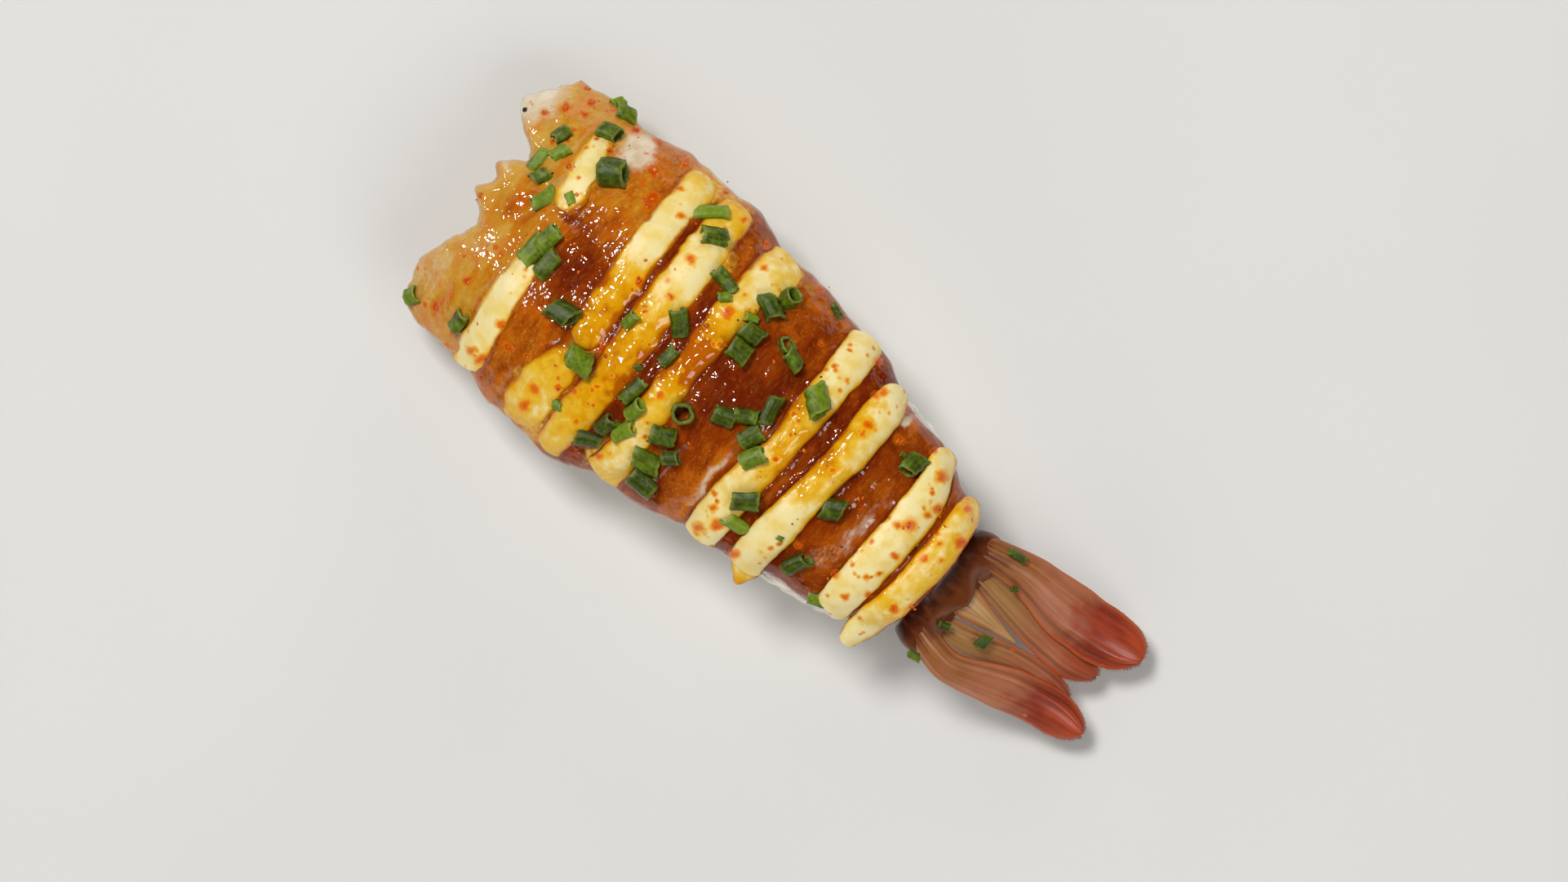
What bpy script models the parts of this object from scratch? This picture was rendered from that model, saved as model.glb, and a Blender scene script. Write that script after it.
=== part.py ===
"""Shrimp nigiri: a butterflied shrimp with its tail fan, draped over a block of rice.

Three separate pieces, each one closed solid:
  rice_block  pressed rice with whole grains standing out of its sides and ends
  shrimp      the opened meat, with piped sauce stripes and cut chives on it
  tail_fan    the last shell segment, the telson and the four tail blades

+X runs from the head end to the tail, +Z is up. The origin is under the middle of the
whole piece, on the surface that it stands on. Sizes are in millimetres and are
multiplied by MM where a mesh is made.
"""
import math
import random

import bmesh
import bpy
import numpy as np
from mathutils import Matrix, Vector

MM = 0.001

# Gap between touching pieces.
GAP = 0.3

# Rice block.
RICE_FRONT = -38.8
RICE_REAR = 23.6
RICE_HALF_WIDTH = 14.2
RICE_TAPER = 2.4
RICE_SHIFT_REAR = -0.9
RICE_RINGS = 17
RICE_RING_POINTS = 18
GRAIN_LENGTH = 6.4
GRAIN_THICKNESS = 2.7
GRAIN_COUNT = 104
GRAIN_SEED = 11

# Shrimp meat. Edges and heights are (x, value) stations joined by a smooth curve.
UPPER_EDGE = [(-46.5, 18.4), (-36, 18.9), (-25.5, 19.8), (-12, 17.8), (2, 15.9),
              (10, 13.0), (18, 11.0), (24, 8.0)]
LOWER_EDGE = [(-46.5, -16.9), (-36, -18.1), (-23, -19.9), (-13, -17.7), (1, -15.4),
              (13, -13.1), (20, -11.8), (24, -10.2)]
UNDERSIDE = [(-52, 10.0), (-46, 13.0), (-40, 15.8), (-32, 18.2), (-18, 19.9),
             (-2, 20.2), (10, 19.4), (18, 17.6), (26, 15.0)]
FURROW = [(-46, 6.6), (-36, 4.2), (-9, 2.7), (11, 2.6), (20, 0.6), (26, -0.9)]
FRONT_X = -46.1
# The torn head end as (y, x): a round flap, a frayed middle and a pointed flap.
FRONT_EDGE = [(-18.5, -45.2), (-16.6, -46.9), (-14.0, -48.0), (-11.4, -48.6), (-8.0, -47.5),
              (-5.0, -46.3), (-3.2, -45.8), (-1.6, -47.4), (-0.2, -48.9), (1.2, -48.0),
              (2.2, -47.6), (4.0, -48.6), (5.2, -47.6), (6.4, -46.0), (7.6, -46.6),
              (9.4, -49.2), (11.6, -51.6), (14.6, -50.1), (17.2, -48.4), (19.5, -46.6)]
REAR_X = 25.6
REAR_ROUNDING = 3.2
DRAPE_REACH = 15.0
DRAPE_DROP = 4.0
DRAPE_POWER = 2.2
MEAT_THICK_MIDDLE = 5.0
MEAT_THICK_EDGE = 2.2
SEGMENT_GROOVES = [-36.5, -25.0, -13.6, -2.4, 9.0, 17.8]
GROOVE_DEPTH = 0.55
GROOVE_WIDTH = 1.3
GROOVE_BOW = 2.0
FURROW_DEPTH = 0.9
FURROW_WIDTH = 1.5
EDGE_WAVE = 0.35
EDGE_WAVE_LENGTH = 11.4
MEAT_STEPS_ALONG = 32
MEAT_STEPS_ACROSS = 18

# Piped strokes: height above the meat, then (x, y, width) along each stroke.
STRIPES = [
    (0.6, [(-40.6, 15.2, 2.8), (-39.4, 9.6, 4.3), (-38.9, 4.4, 3.4)]),
    (0.9, [(-37.8, -2.9, 3.8), (-36.9, -11.0, 4.3), (-35.9, -17.8, 4.4)]),
    (0.9, [(-27.6, 18.2, 4.7), (-27.8, 9.0, 4.9), (-27.2, 1.0, 5.0), (-26.4, -6.8, 4.3)]),
    (0.8, [(-26.3, -8.4, 4.4), (-26.9, -13.0, 6.3), (-26.8, -18.8, 6.0)]),
    (1.2, [(-22.3, 18.2, 5.1), (-21.8, 8.0, 5.6), (-21.8, 1.0, 5.4), (-21.2, -7.0, 5.1),
           (-21.7, -18.9, 4.6)]),
    (1.1, [(-13.4, 17.4, 6.1), (-14.6, 9.0, 5.0), (-14.8, 2.0, 4.4), (-14.7, -4.0, 4.5),
           (-14.2, -11.0, 5.0), (-14.4, -17.2, 5.8)]),
    (1.6, [(0.1, 15.6, 4.9), (0.4, 9.0, 4.8), (0.1, 4.0, 4.6), (0.3, -1.5, 4.2),
           (-0.5, -8.0, 5.2), (-0.5, -15.2, 4.8)]),
    (1.7, [(6.6, 13.4, 3.2), (7.1, 8.0, 5.1), (6.8, 1.5, 4.8), (6.2, -6.0, 4.9),
           (5.9, -13.6, 4.8), (6.5, -16.2, 1.8)]),
    (1.7, [(15.6, 11.2, 2.6), (17.5, 7.0, 4.8), (17.9, 1.0, 5.3), (17.7, -5.0, 5.3),
           (17.2, -11.8, 4.8)]),
    (1.5, [(21.7, 8.8, 2.5), (23.0, 5.0, 4.1), (23.1, -1.0, 4.4), (22.7, -7.0, 4.1),
           (21.3, -13.6, 2.3)]),
]
STRIPE_ROOT = 1.0
STRIPE_STEPS = 9
STRIPE_SIDES = 6

# Cut chives: x, y, length, diameter, turn in degrees.
CHIVES = [
    (-40.6, 18.6, 2.6, 2.6, 15), (-40.4, 15.4, 2.4, 2.6, 5), (-36.8, 11.8, 3.4, 3.5, 20),
    (-44.8, 11.4, 2.2, 2.0, 80), (-43.4, 9.6, 2.4, 1.7, 60), (-45.0, 7.2, 3.2, 1.8, 85),
    (-43.4, 5.8, 2.2, 1.9, 70), (-41.2, 3.9, 3.2, 2.0, 82), (-37.5, 0.6, 3.4, 2.3, 80),
    (-38.0, -1.6, 4.0, 2.8, 88), (-35.6, -1.9, 3.6, 2.3, 80), (-46.4, -15.4, 2.0, 2.2, 60),
    (-39.8, -14.1, 3.0, 2.2, 82), (-30.4, -5.2, 3.4, 2.6, 10), (-25.2, -8.3, 3.4, 2.8, 5),
    (-24.6, 15.8, 4.4, 2.2, 42), (-22.3, 13.7, 3.2, 2.4, 40), (-17.8, 10.4, 3.4, 2.0, -15),
    (-18.8, 3.0, 3.4, 2.4, -40), (-23.6, -0.7, 2.2, 1.9, 70), (-17.2, -1.1, 2.6, 1.9, 85),
    (-17.9, -7.0, 3.8, 1.8, 80), (-16.2, -8.6, 2.6, 2.0, 70), (-15.6, -11.4, 3.2, 1.8, 60),
    (-17.8, -12.2, 2.6, 2.0, 80), (-18.5, -15.1, 3.2, 2.2, 35), (-11.5, -5.2, 2.8, 2.8, 90),
    (-10.4, 13.8, 2.4, 2.4, 45), (-11.4, 11.4, 3.2, 2.6, -30), (-11.2, 7.4, 2.8, 2.6, 5),
    (-11.0, 5.0, 2.8, 2.8, 0), (-5.4, 8.3, 2.6, 2.2, -15), (-3.6, 1.8, 3.8, 1.9, 100),
    (-5.4, -0.6, 3.0, 2.0, 30), (-3.4, -2.2, 3.0, 2.4, 70), (-1.6, -4.0, 3.2, 2.2, 50),
    (-7.4, -2.4, 2.8, 2.2, 20), (0.0, 6.4, 3.6, 2.8, -40), (-11.6, -9.0, 3.2, 2.4, 25),
    (-11.2, -12.6, 3.6, 2.8, 5), (-9.9, -14.9, 3.6, 2.6, 0), (1.1, -8.6, 3.4, 2.8, 40),
    (1.8, -11.4, 3.0, 2.0, -10), (13.8, 7.7, 2.8, 2.6, 80), (9.8, -2.6, 2.6, 2.6, 30),
    (10.6, -10.4, 3.2, 2.2, 75), (15.7, -12.0, 3.0, 2.0, 35),
]
CHIVE_SIDES = 6
CHIVE_SINK = 0.35

# Tail: collar shell, telson and blades.
COLLAR_START = 26.0
COLLAR_END = 29.4
COLLAR_MIDDLE_Y = -1.1
COLLAR_HALF_WIDTH = 9.0
COLLAR_NARROW = 0.88
COLLAR_TOP = 18.4
COLLAR_DEPTH = 8.6
COLLAR_DIP = 3.2
# The fan's top face as (x, z), from the collar down to the blades' tips.
FAN_HEIGHT = [(27, 15.2), (31, 13.6), (38, 10.2), (46, 6.4), (52, 4.4)]
TELSON_START = 27.4
TELSON_TIP_X = 37.8
TELSON_MIDDLE_Y = -0.9
TELSON_HALF_WIDTH = 2.5
TELSON_THICKNESS = 2.2
# Blades: middle line (x, y), half width (x, half), tip x, drop below the fan's top,
# thickness, and tilt across in degrees.
BLADES = [
    ([(28, 5.6), (33, 6.4), (39, 6.2), (45, 6.5), (51, 7.4)],
     [(28, 1.9), (33, 2.6), (39, 3.6), (46, 3.75), (51, 3.1)], 51.3, 0.0, 1.5, 8),
    ([(28, 2.7), (33, 2.4), (39, 1.8), (44, 1.7), (49, 2.4)],
     [(28, 1.3), (33, 1.8), (39, 2.2), (49, 2.4)], 48.2, 1.1, 1.3, 14),
    ([(28, -7.5), (33, -8.4), (39, -6.4), (45, -4.8), (51, -4.4)],
     [(28, 1.7), (33, 2.0), (39, 2.8), (45, 2.85), (51, 2.5)], 51.4, 0.0, 1.5, -8),
    ([(28, -5.1), (33, -4.6), (39, -2.8), (44, -2.3), (49, -2.8)],
     [(28, 1.4), (33, 2.0), (39, 1.9), (49, 1.9)], 47.8, 1.1, 1.3, -14),
]
BLADE_CROWN = 0.7
BLADE_TIP_LENGTH = 5.5
BLADE_STEPS_ALONG = 11
BLADE_SIDES = 10


def remove_everything():
    """Clears the scene, so that the script can be run again."""
    for obj in list(bpy.data.objects):
        bpy.data.objects.remove(obj, do_unlink=True)


def through(stations, x):
    """Smooth curve through (x, value) stations: cubic Hermite with central slopes."""
    xs = np.array([s[0] for s in stations], float)
    vs = np.array([s[1] for s in stations], float)
    slopes = np.gradient(vs, xs)
    x = np.clip(np.asarray(x, float), xs[0], xs[-1])
    i = np.clip(np.searchsorted(xs, x) - 1, 0, len(xs) - 2)
    step = xs[i + 1] - xs[i]
    t = (x - xs[i]) / step
    a = (1 + 2 * t) * (1 - t) ** 2 * vs[i] + t * (1 - t) ** 2 * step * slopes[i]
    b = t * t * (3 - 2 * t) * vs[i + 1] + t * t * (t - 1) * step * slopes[i + 1]
    return a + b


def middle_and_half(x):
    """Middle line and half width of the meat at x: its edges wave with the segments."""
    wave = EDGE_WAVE * np.sin(2 * math.pi * np.asarray(x, float) / EDGE_WAVE_LENGTH)
    upper = through(UPPER_EDGE, x) + wave
    lower = through(LOWER_EDGE, x) - wave
    return (upper + lower) / 2, (upper - lower) / 2


def underside(x, y):
    """Lower face of the meat: a crown along x that bends down over the rice's shoulders."""
    reach = np.abs(y - rice_middle(x)) / DRAPE_REACH
    return through(UNDERSIDE, x) - DRAPE_DROP * reach ** DRAPE_POWER


def rice_middle(x):
    """The rice leans slightly to -Y towards the tail."""
    return RICE_SHIFT_REAR * np.clip((np.asarray(x, float) + 10) / 30, 0, 1)


def meat_relief(x, y):
    """Grooves between the muscle segments, and the furrow down the back."""
    bow = GROOVE_BOW * (y / DRAPE_REACH) ** 2
    relief = np.zeros_like(np.asarray(x, float) + np.asarray(y, float))
    for groove in SEGMENT_GROOVES:
        relief = relief - GROOVE_DEPTH * np.exp(-((x - groove + bow) / GROOVE_WIDTH) ** 2)
    away = (y - through(FURROW, x)) / FURROW_WIDTH
    return relief - FURROW_DEPTH * np.exp(-away ** 2)


def meat_top(x, y):
    """Upper face of the meat: thick in the middle, thin at the sides and the head end."""
    middle, half = middle_and_half(x)
    v = np.clip(np.abs(y - middle) / half, 0, 1)
    thick = MEAT_THICK_EDGE + (MEAT_THICK_MIDDLE - MEAT_THICK_EDGE) * (1 - v ** 2.5)
    head = np.clip((np.asarray(x, float) - FRONT_X) / 12, 0, 1)
    thick = thick * (0.55 + 0.45 * head)
    return underside(x, y) + thick + meat_relief(x, y)


def stripe_height(x, y):
    """Height of the piped sauce over the meat at x, y, or 0 beside it."""
    best = 0.0
    for height, points in STRIPES:
        ys = [p[1] for p in points]
        if min(ys) < y < max(ys):
            order = sorted(points, key=lambda p: p[1])
            centre = through([(p[1], p[0]) for p in order], y)
            half = through([(p[1], p[2] / 2) for p in order], y)
            off = abs(x - centre) / half
            if off < 1:
                best = max(best, height * math.sqrt(1 - off * off))
    return best


def mesh_object(name, points, faces):
    """New object from points in millimetres; faces as lists of point numbers."""
    mesh = bpy.data.meshes.new(name)
    mesh.from_pydata([tuple(float(c) * MM for c in p) for p in points], [], faces)
    obj = bpy.data.objects.new(name, mesh)
    bpy.context.scene.collection.objects.link(obj)
    return obj


def ring_faces(rings, count, cap=True):
    """Quads between rings of count points each, with flat caps on both ends."""
    faces = []
    for i in range(rings - 1):
        for k in range(count):
            n = (k + 1) % count
            a = i * count
            b = a + count
            faces.append([a + k, a + n, b + n, b + k])
    if cap:
        faces.append(list(range(count))[::-1])
        faces.append(list(range((rings - 1) * count, rings * count)))
    return faces


def face_outward(obj):
    """Turns every face outward and splits the faces into triangles."""
    work = bmesh.new()
    work.from_mesh(obj.data)
    bmesh.ops.recalc_face_normals(work, faces=work.faces)
    if work.calc_volume(signed=True) < 0:
        bmesh.ops.reverse_faces(work, faces=work.faces)
    bmesh.ops.triangulate(work, faces=work.faces)
    work.to_mesh(obj.data)
    work.free()


def keep_largest_shell(obj):
    """Fills sealed hollows and drops loose scraps: only the outer shell stays."""
    work = bmesh.new()
    work.from_mesh(obj.data)
    bmesh.ops.triangulate(work, faces=work.faces)
    seen = set()
    shells = []
    for start in work.faces:
        if start in seen:
            continue
        shell = [start]
        seen.add(start)
        for face in shell:
            for edge in face.edges:
                for other in edge.link_faces:
                    if other not in seen:
                        seen.add(other)
                        shell.append(other)
        shells.append(shell)
    shells.sort(key=len, reverse=True)
    spare = [face for shell in shells[1:] for face in shell]
    if spare:
        bmesh.ops.delete(work, geom=spare, context="FACES")
    work.to_mesh(obj.data)
    work.free()


def fuse(body, pieces):
    """One Boolean union of the body with a collection of small pieces, applied."""
    group = bpy.data.collections.new(body.name + "_pieces")
    for piece in pieces:
        face_outward(piece)
        group.objects.link(piece)
    union = body.modifiers.new("Fuse", "BOOLEAN")
    union.operation = "UNION"
    union.operand_type = "COLLECTION"
    union.collection = group
    union.solver = "EXACT"
    bpy.context.view_layer.update()
    graph = bpy.context.evaluated_depsgraph_get()
    joined = bpy.data.meshes.new_from_object(body.evaluated_get(graph))
    body.modifiers.remove(union)
    body.data = joined
    for piece in pieces:
        bpy.data.objects.remove(piece, do_unlink=True)
    bpy.data.collections.remove(group)
    keep_largest_shell(body)


def finish(obj, colour, roughness):
    """Gives a solid its own Principled material and smooth shading."""
    obj.data.materials.clear()
    material = bpy.data.materials.new(obj.name + "_surface")
    material.use_nodes = True
    shader = material.node_tree.nodes["Principled BSDF"]
    shader.inputs["Base Color"].default_value = (*colour, 1.0)
    shader.inputs["Roughness"].default_value = roughness
    shader.inputs["Metallic"].default_value = 0.0
    obj.data.materials.append(material)
    obj.data.shade_smooth()
    obj.data.set_sharp_from_angle(angle=math.radians(35))


# --- Rice -----------------------------------------------------------------------------

def rice_half_width(x):
    """Half width of the block: it narrows to the tail and closes round at both ends."""
    along = (np.asarray(x, float) - RICE_FRONT) / (RICE_REAR - RICE_FRONT)
    ends = np.clip(1 - np.abs(2 * along - 1) ** 6, 0, 1) ** 0.34
    return (RICE_HALF_WIDTH - RICE_TAPER * np.clip(along, 0, 1) ** 3) * ends


def rice_section(x):
    """Closed section of the core at x: flat foot, bulging sides, top just below the meat."""
    half = float(rice_half_width(x))
    points = []
    for k in range(RICE_RING_POINTS):
        angle = 2 * math.pi * (k + 0.5) / RICE_RING_POINTS
        across = math.copysign(abs(math.cos(angle)) ** 0.45, math.cos(angle))
        up = math.copysign(abs(math.sin(angle)) ** 0.5, math.sin(angle))
        y = float(rice_middle(x)) + half * across
        top = float(underside(x, y)) - GAP - 0.2
        z = top / 2 * (1 + 1.06 * up)
        points.append((x, y, min(max(z, 0.0), top)))
    return points


def rice_core():
    """Sections joined along x, closer together at the rounded ends."""
    points = []
    for i in range(RICE_RINGS):
        along = 0.5 - 0.5 * math.cos(math.pi * (i + 0.35) / (RICE_RINGS - 0.3))
        points += rice_section(RICE_FRONT + (RICE_REAR - RICE_FRONT) * along)
    core = mesh_object("rice_block", points, ring_faces(RICE_RINGS, RICE_RING_POINTS))
    face_outward(core)
    return core


def grain(name, centre, along, normal, length, thickness):
    """One rice grain: five-sided rings on a blunt spindle."""
    side = along.cross(normal).normalized()
    points = [centre - along * length * 0.5]
    for t, r in ((-0.36, 0.72), (0.0, 1.0), (0.36, 0.74)):
        for k in range(5):
            angle = 2 * math.pi * k / 5 + 0.4
            offset = side * math.cos(angle) * 0.54 + normal * math.sin(angle) * 0.46
            points.append(centre + along * length * t + offset * thickness * r)
    points.append(centre + along * length * 0.5)
    faces = [[0, 1 + (k + 1) % 5, 1 + k] for k in range(5)]
    for ring in (1, 6):
        for k in range(5):
            n = (k + 1) % 5
            faces.append([ring + k, ring + n, ring + 5 + n, ring + 5 + k])
    faces += [[16, 11 + k, 11 + (k + 1) % 5] for k in range(5)]
    return mesh_object(name, points, faces)


def wall_outline():
    """The rice's outline from above, as x, y points, and the length run at each of them."""
    t = np.linspace(0, math.pi, 120)
    x = (RICE_FRONT + RICE_REAR) / 2 - (RICE_REAR - RICE_FRONT) / 2 * 0.998 * np.cos(t)
    half = rice_half_width(x)
    upper = np.stack([x, rice_middle(x) + half], -1)
    lower = np.stack([x, rice_middle(x) - half], -1)[::-1]
    loop = np.concatenate([upper, lower, upper[:1]])
    run = np.concatenate([[0], np.cumsum(np.hypot(*np.diff(loop, axis=0).T))])
    return loop, run


def wall_point(turn, z):
    """Point and outward direction on the rice wall, at a share of the way round it."""
    loop, run = wall_outline()
    here, ahead = (turn * run[-1], turn * run[-1] + 0.5)
    x, y = np.interp(here, run, loop[:, 0]), np.interp(here, run, loop[:, 1])
    dx = np.interp(ahead, run, loop[:, 0]) - x
    dy = np.interp(ahead, run, loop[:, 1]) - y
    outward = Vector((-dy, dx, 0)).normalized()
    bulge = 0.6 * ((z - 8) / 8) ** 2
    return Vector((x, y, z)) - outward * bulge, outward


def rice_grains():
    """Grains spread evenly over the wall, turned at random, clear of meat and floor."""
    draw = random.Random(GRAIN_SEED)
    grains = []
    for n in range(GRAIN_COUNT):
        turn = (n * 0.6180339887) % 1.0
        z = 1.6 + 13.6 * ((n * 0.7548776662) % 1.0)
        centre, outward = wall_point(turn, z)
        level = Vector((0, 0, 1)).cross(outward)
        tilt = math.radians(draw.uniform(-55, 55))
        along = (Matrix.Rotation(tilt, 3, outward) @ level).normalized()
        length = GRAIN_LENGTH * draw.uniform(0.82, 1.08)
        thickness = GRAIN_THICKNESS * draw.uniform(0.88, 1.1)
        centre = centre - outward * draw.uniform(0.0, 0.6)
        rise = abs(along.z) * length / 2 + thickness / 2
        centre.z = max(centre.z, rise + 0.05)
        tips = [centre + along * length / 2 * end for end in (-1, 0, 1)]
        room = min(float(underside(t.x, t.y)) - GAP - t.z for t in tips)
        if room < thickness / 2 + 0.1:
            centre.z -= thickness / 2 + 0.1 - room
        if centre.z < rise:
            continue
        grains.append(grain("grain", centre, along, outward, length, thickness))
    return grains


def rice_block():
    block = rice_core()
    fuse(block, rice_grains())
    finish(block, (0.86, 0.84, 0.78), 0.35)
    return block


# --- Shrimp ---------------------------------------------------------------------------

def meat_body():
    """Upper and lower faces on one grid from head end to tail, joined round the rim."""
    along, across = MEAT_STEPS_ALONG, MEAT_STEPS_ACROSS
    s, v = np.meshgrid(np.linspace(0, 1, along + 1), np.linspace(-1, 1, across + 1),
                       indexing="ij")
    v = np.sin(v * math.pi / 2 * 0.9) / math.sin(math.pi / 2 * 0.9)
    front_middle, front_half = middle_and_half(FRONT_X)
    start = through(FRONT_EDGE, front_middle + front_half * v)
    end = REAR_X - REAR_ROUNDING * np.abs(v) ** 3
    x = start + (end - start) * s
    middle, half = middle_and_half(x)
    y = middle + half * v
    top = meat_top(x, y)
    low = underside(x, y)
    rim = np.zeros_like(x)
    rim[0, :] = rim[-1, :] = rim[:, 0] = rim[:, -1] = 1
    top = top - rim * (top - low) * 0.32
    low = low + rim * (top - low) * 0.25
    upper = np.stack([x, y, top], -1).reshape(-1, 3)
    lower = np.stack([x, y, low], -1).reshape(-1, 3)
    width = across + 1
    count = len(upper)
    faces = []
    for i in range(along):
        for j in range(across):
            a = i * width + j
            faces.append([a, a + width, a + width + 1, a + 1])
            faces.append([count + a, count + a + 1, count + a + width + 1, count + a + width])
    border = [j for j in range(width)]
    border += [i * width + across for i in range(1, along + 1)]
    border += [along * width + j for j in range(across - 1, -1, -1)]
    border += [i * width for i in range(along - 1, 0, -1)]
    for a, b in zip(border, border[1:] + border[:1]):
        faces.append([a, b, count + b, count + a])
    body = mesh_object("shrimp", np.concatenate([upper, lower]), faces)
    face_outward(body)
    return body


def stripe(height, points):
    """Piped sauce: half-round sections along a smooth line over the meat."""
    order = np.linspace(0, len(points) - 1, STRIPE_STEPS)
    xs = through([(i, p[0]) for i, p in enumerate(points)], order)
    ys = through([(i, p[1]) for i, p in enumerate(points)], order)
    halves = through([(i, p[2] / 2) for i, p in enumerate(points)], order)
    halves[0] *= 0.7
    halves[-1] *= 0.7
    dx, dy = np.gradient(xs), np.gradient(ys)
    size = np.hypot(dx, dy)
    rings = []
    for x, y, half, side_x, side_y in zip(xs, ys, halves, dy / size, -dx / size):
        base = float(meat_top(x, y))
        rise = height * min(1.0, 0.35 + half / 2.2)
        for k in range(STRIPE_SIDES):
            angle = 2 * math.pi * (k + 0.5) / STRIPE_SIDES
            off = half * math.cos(angle)
            up = rise if math.sin(angle) > 0 else STRIPE_ROOT
            rings.append((x + side_x * off, y + side_y * off, base + up * math.sin(angle)))
    return mesh_object("stripe", rings, ring_faces(STRIPE_STEPS, STRIPE_SIDES))


def chive(x, y, length, diameter, turn):
    """A short cut length of chive: a six-sided prism lying on what is under it."""
    angle = math.radians(turn)
    along = Vector((math.cos(angle), math.sin(angle), 0))
    ends = [Vector((x, y, 0)) + along * length * e for e in (-0.5, 0.5)]
    heights = [float(meat_top(e.x, e.y)) + stripe_height(e.x, e.y) for e in ends]
    lift = diameter / 2 - CHIVE_SINK
    for end, height in zip(ends, heights):
        end.z = height + lift
    direction = (ends[1] - ends[0]).normalized()
    side = direction.cross(Vector((0, 0, 1))).normalized()
    up = side.cross(direction)
    points = []
    for end in ends:
        for k in range(CHIVE_SIDES):
            a = 2 * math.pi * k / CHIVE_SIDES
            points.append(end + (side * math.cos(a) + up * math.sin(a)) * diameter / 2)
    return mesh_object("chive", points, ring_faces(2, CHIVE_SIDES))


def shrimp():
    body = meat_body()
    toppings = [stripe(height, points) for height, points in STRIPES]
    toppings += [chive(*row) for row in CHIVES]
    fuse(body, toppings)
    finish(body, (0.72, 0.36, 0.12), 0.3)
    return body


# --- Tail -----------------------------------------------------------------------------

def collar():
    """Last shell segment: a flattened barrel that widens and dips towards the blades."""
    rings, sides = 6, 16
    points = []
    for i in range(rings):
        t = i / (rings - 1)
        x = COLLAR_START + (COLLAR_END - COLLAR_START) * t
        swell = COLLAR_NARROW + (1 - COLLAR_NARROW) * math.sin(math.pi * min(1.0, 0.7 * t))
        half = COLLAR_HALF_WIDTH * swell
        depth = COLLAR_DEPTH * (1 - 0.35 * t) * (0.9 + 0.1 * math.sin(math.pi * t))
        middle_z = COLLAR_TOP - COLLAR_DIP * t ** 1.3 - COLLAR_DEPTH * 0.45
        for k in range(sides):
            a = 2 * math.pi * k / sides
            y = COLLAR_MIDDLE_Y + half * math.copysign(abs(math.cos(a)) ** 0.8, math.cos(a))
            points.append((x, y, middle_z + depth / 2 * math.sin(a)))
    shell = mesh_object("tail_fan", points, ring_faces(rings, sides))
    face_outward(shell)
    return shell


def telson():
    """The pointed middle plate, a wedge that narrows to its tip."""
    sides = 6
    points = []
    for t in (0.0, 0.35, 0.7, 0.97):
        x = TELSON_START + (TELSON_TIP_X - TELSON_START) * t
        half = TELSON_HALF_WIDTH * (1 - 0.95 * t)
        thick = TELSON_THICKNESS / 2 * (1 - 0.6 * t)
        z = float(through(FAN_HEIGHT, x)) - 0.6
        for k in range(sides):
            a = 2 * math.pi * k / sides
            y = TELSON_MIDDLE_Y + half * math.cos(a)
            points.append((x, y, z + thick * math.sin(a)))
    return mesh_object("telson", points, ring_faces(4, sides))


def blade(path, widths, tip_x, drop, thickness, tilt):
    """A tail blade: thin crowned oval sections along its path, rounded off at the tip."""
    root_x = path[0][0]
    points = []
    for i in range(BLADE_STEPS_ALONG):
        t = math.sin(math.pi / 2 * i / (BLADE_STEPS_ALONG - 0.7))
        x = root_x + (tip_x - root_x) * t
        past = max(0.0, 1 - (tip_x - x) / BLADE_TIP_LENGTH)
        half = float(through(widths, x)) * math.sqrt(1 - past ** 2)
        thick = thickness * (1 - 0.5 * t)
        y = float(through(path, x))
        z = float(through(FAN_HEIGHT, x)) - drop
        for k in range(BLADE_SIDES):
            a = 2 * math.pi * k / BLADE_SIDES
            across = half * math.cos(a)
            bend = BLADE_CROWN * (0.3 - math.cos(a) ** 2) * half / widths[-1][1]
            lean = -across * math.tan(math.radians(tilt))
            points.append((x, y + across, z + thick / 2 * math.sin(a) + bend + lean))
    return mesh_object("blade", points, ring_faces(BLADE_STEPS_ALONG, BLADE_SIDES))


def tail_fan():
    fan = collar()
    fuse(fan, [telson()] + [blade(*row) for row in BLADES])
    finish(fan, (0.45, 0.13, 0.07), 0.4)
    return fan


def main():
    remove_everything()
    rice_block()
    shrimp()
    tail_fan()


main()
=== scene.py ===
# %% [markdown]
# # Shrimp nigiri
# A butterflied shrimp lies over a block of pressed rice. Piped cream sauce crosses it in
# stripes, a dark sweet glaze runs between them, and cut chives, chilli and pepper are
# scattered on top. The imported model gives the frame: where each piece is and how large.
# This lesson dresses it. Shapes are worked out as whole numpy arrays in millimetres, and
# every finish is made of nodes.

# %% Load the frame
import math

import bpy
import numpy as np
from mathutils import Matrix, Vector


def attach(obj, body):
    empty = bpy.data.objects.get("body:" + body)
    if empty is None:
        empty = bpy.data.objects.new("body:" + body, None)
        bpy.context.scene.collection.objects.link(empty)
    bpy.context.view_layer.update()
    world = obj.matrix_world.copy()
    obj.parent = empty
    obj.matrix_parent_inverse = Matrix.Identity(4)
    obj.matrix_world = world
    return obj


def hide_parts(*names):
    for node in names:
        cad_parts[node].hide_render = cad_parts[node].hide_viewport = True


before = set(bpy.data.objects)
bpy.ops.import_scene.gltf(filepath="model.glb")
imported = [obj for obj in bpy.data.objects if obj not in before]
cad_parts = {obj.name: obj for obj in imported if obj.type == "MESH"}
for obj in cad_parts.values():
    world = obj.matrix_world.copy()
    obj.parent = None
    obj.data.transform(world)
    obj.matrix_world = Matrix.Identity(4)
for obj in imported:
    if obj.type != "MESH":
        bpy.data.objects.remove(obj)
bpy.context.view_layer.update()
MM = 0.001
print("nodes in the frame:", sorted(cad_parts))

# %% [markdown]
# ## From arrays to a mesh
# Every piece below is a block of points and some faces that index into it. Handing both
# to the mesh with foreach_set takes one call for each list, however many points there
# are, where a loop over vertices would take seconds. Points come in millimetres, because
# that is how a cook would measure a chive, and become metres here.

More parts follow.
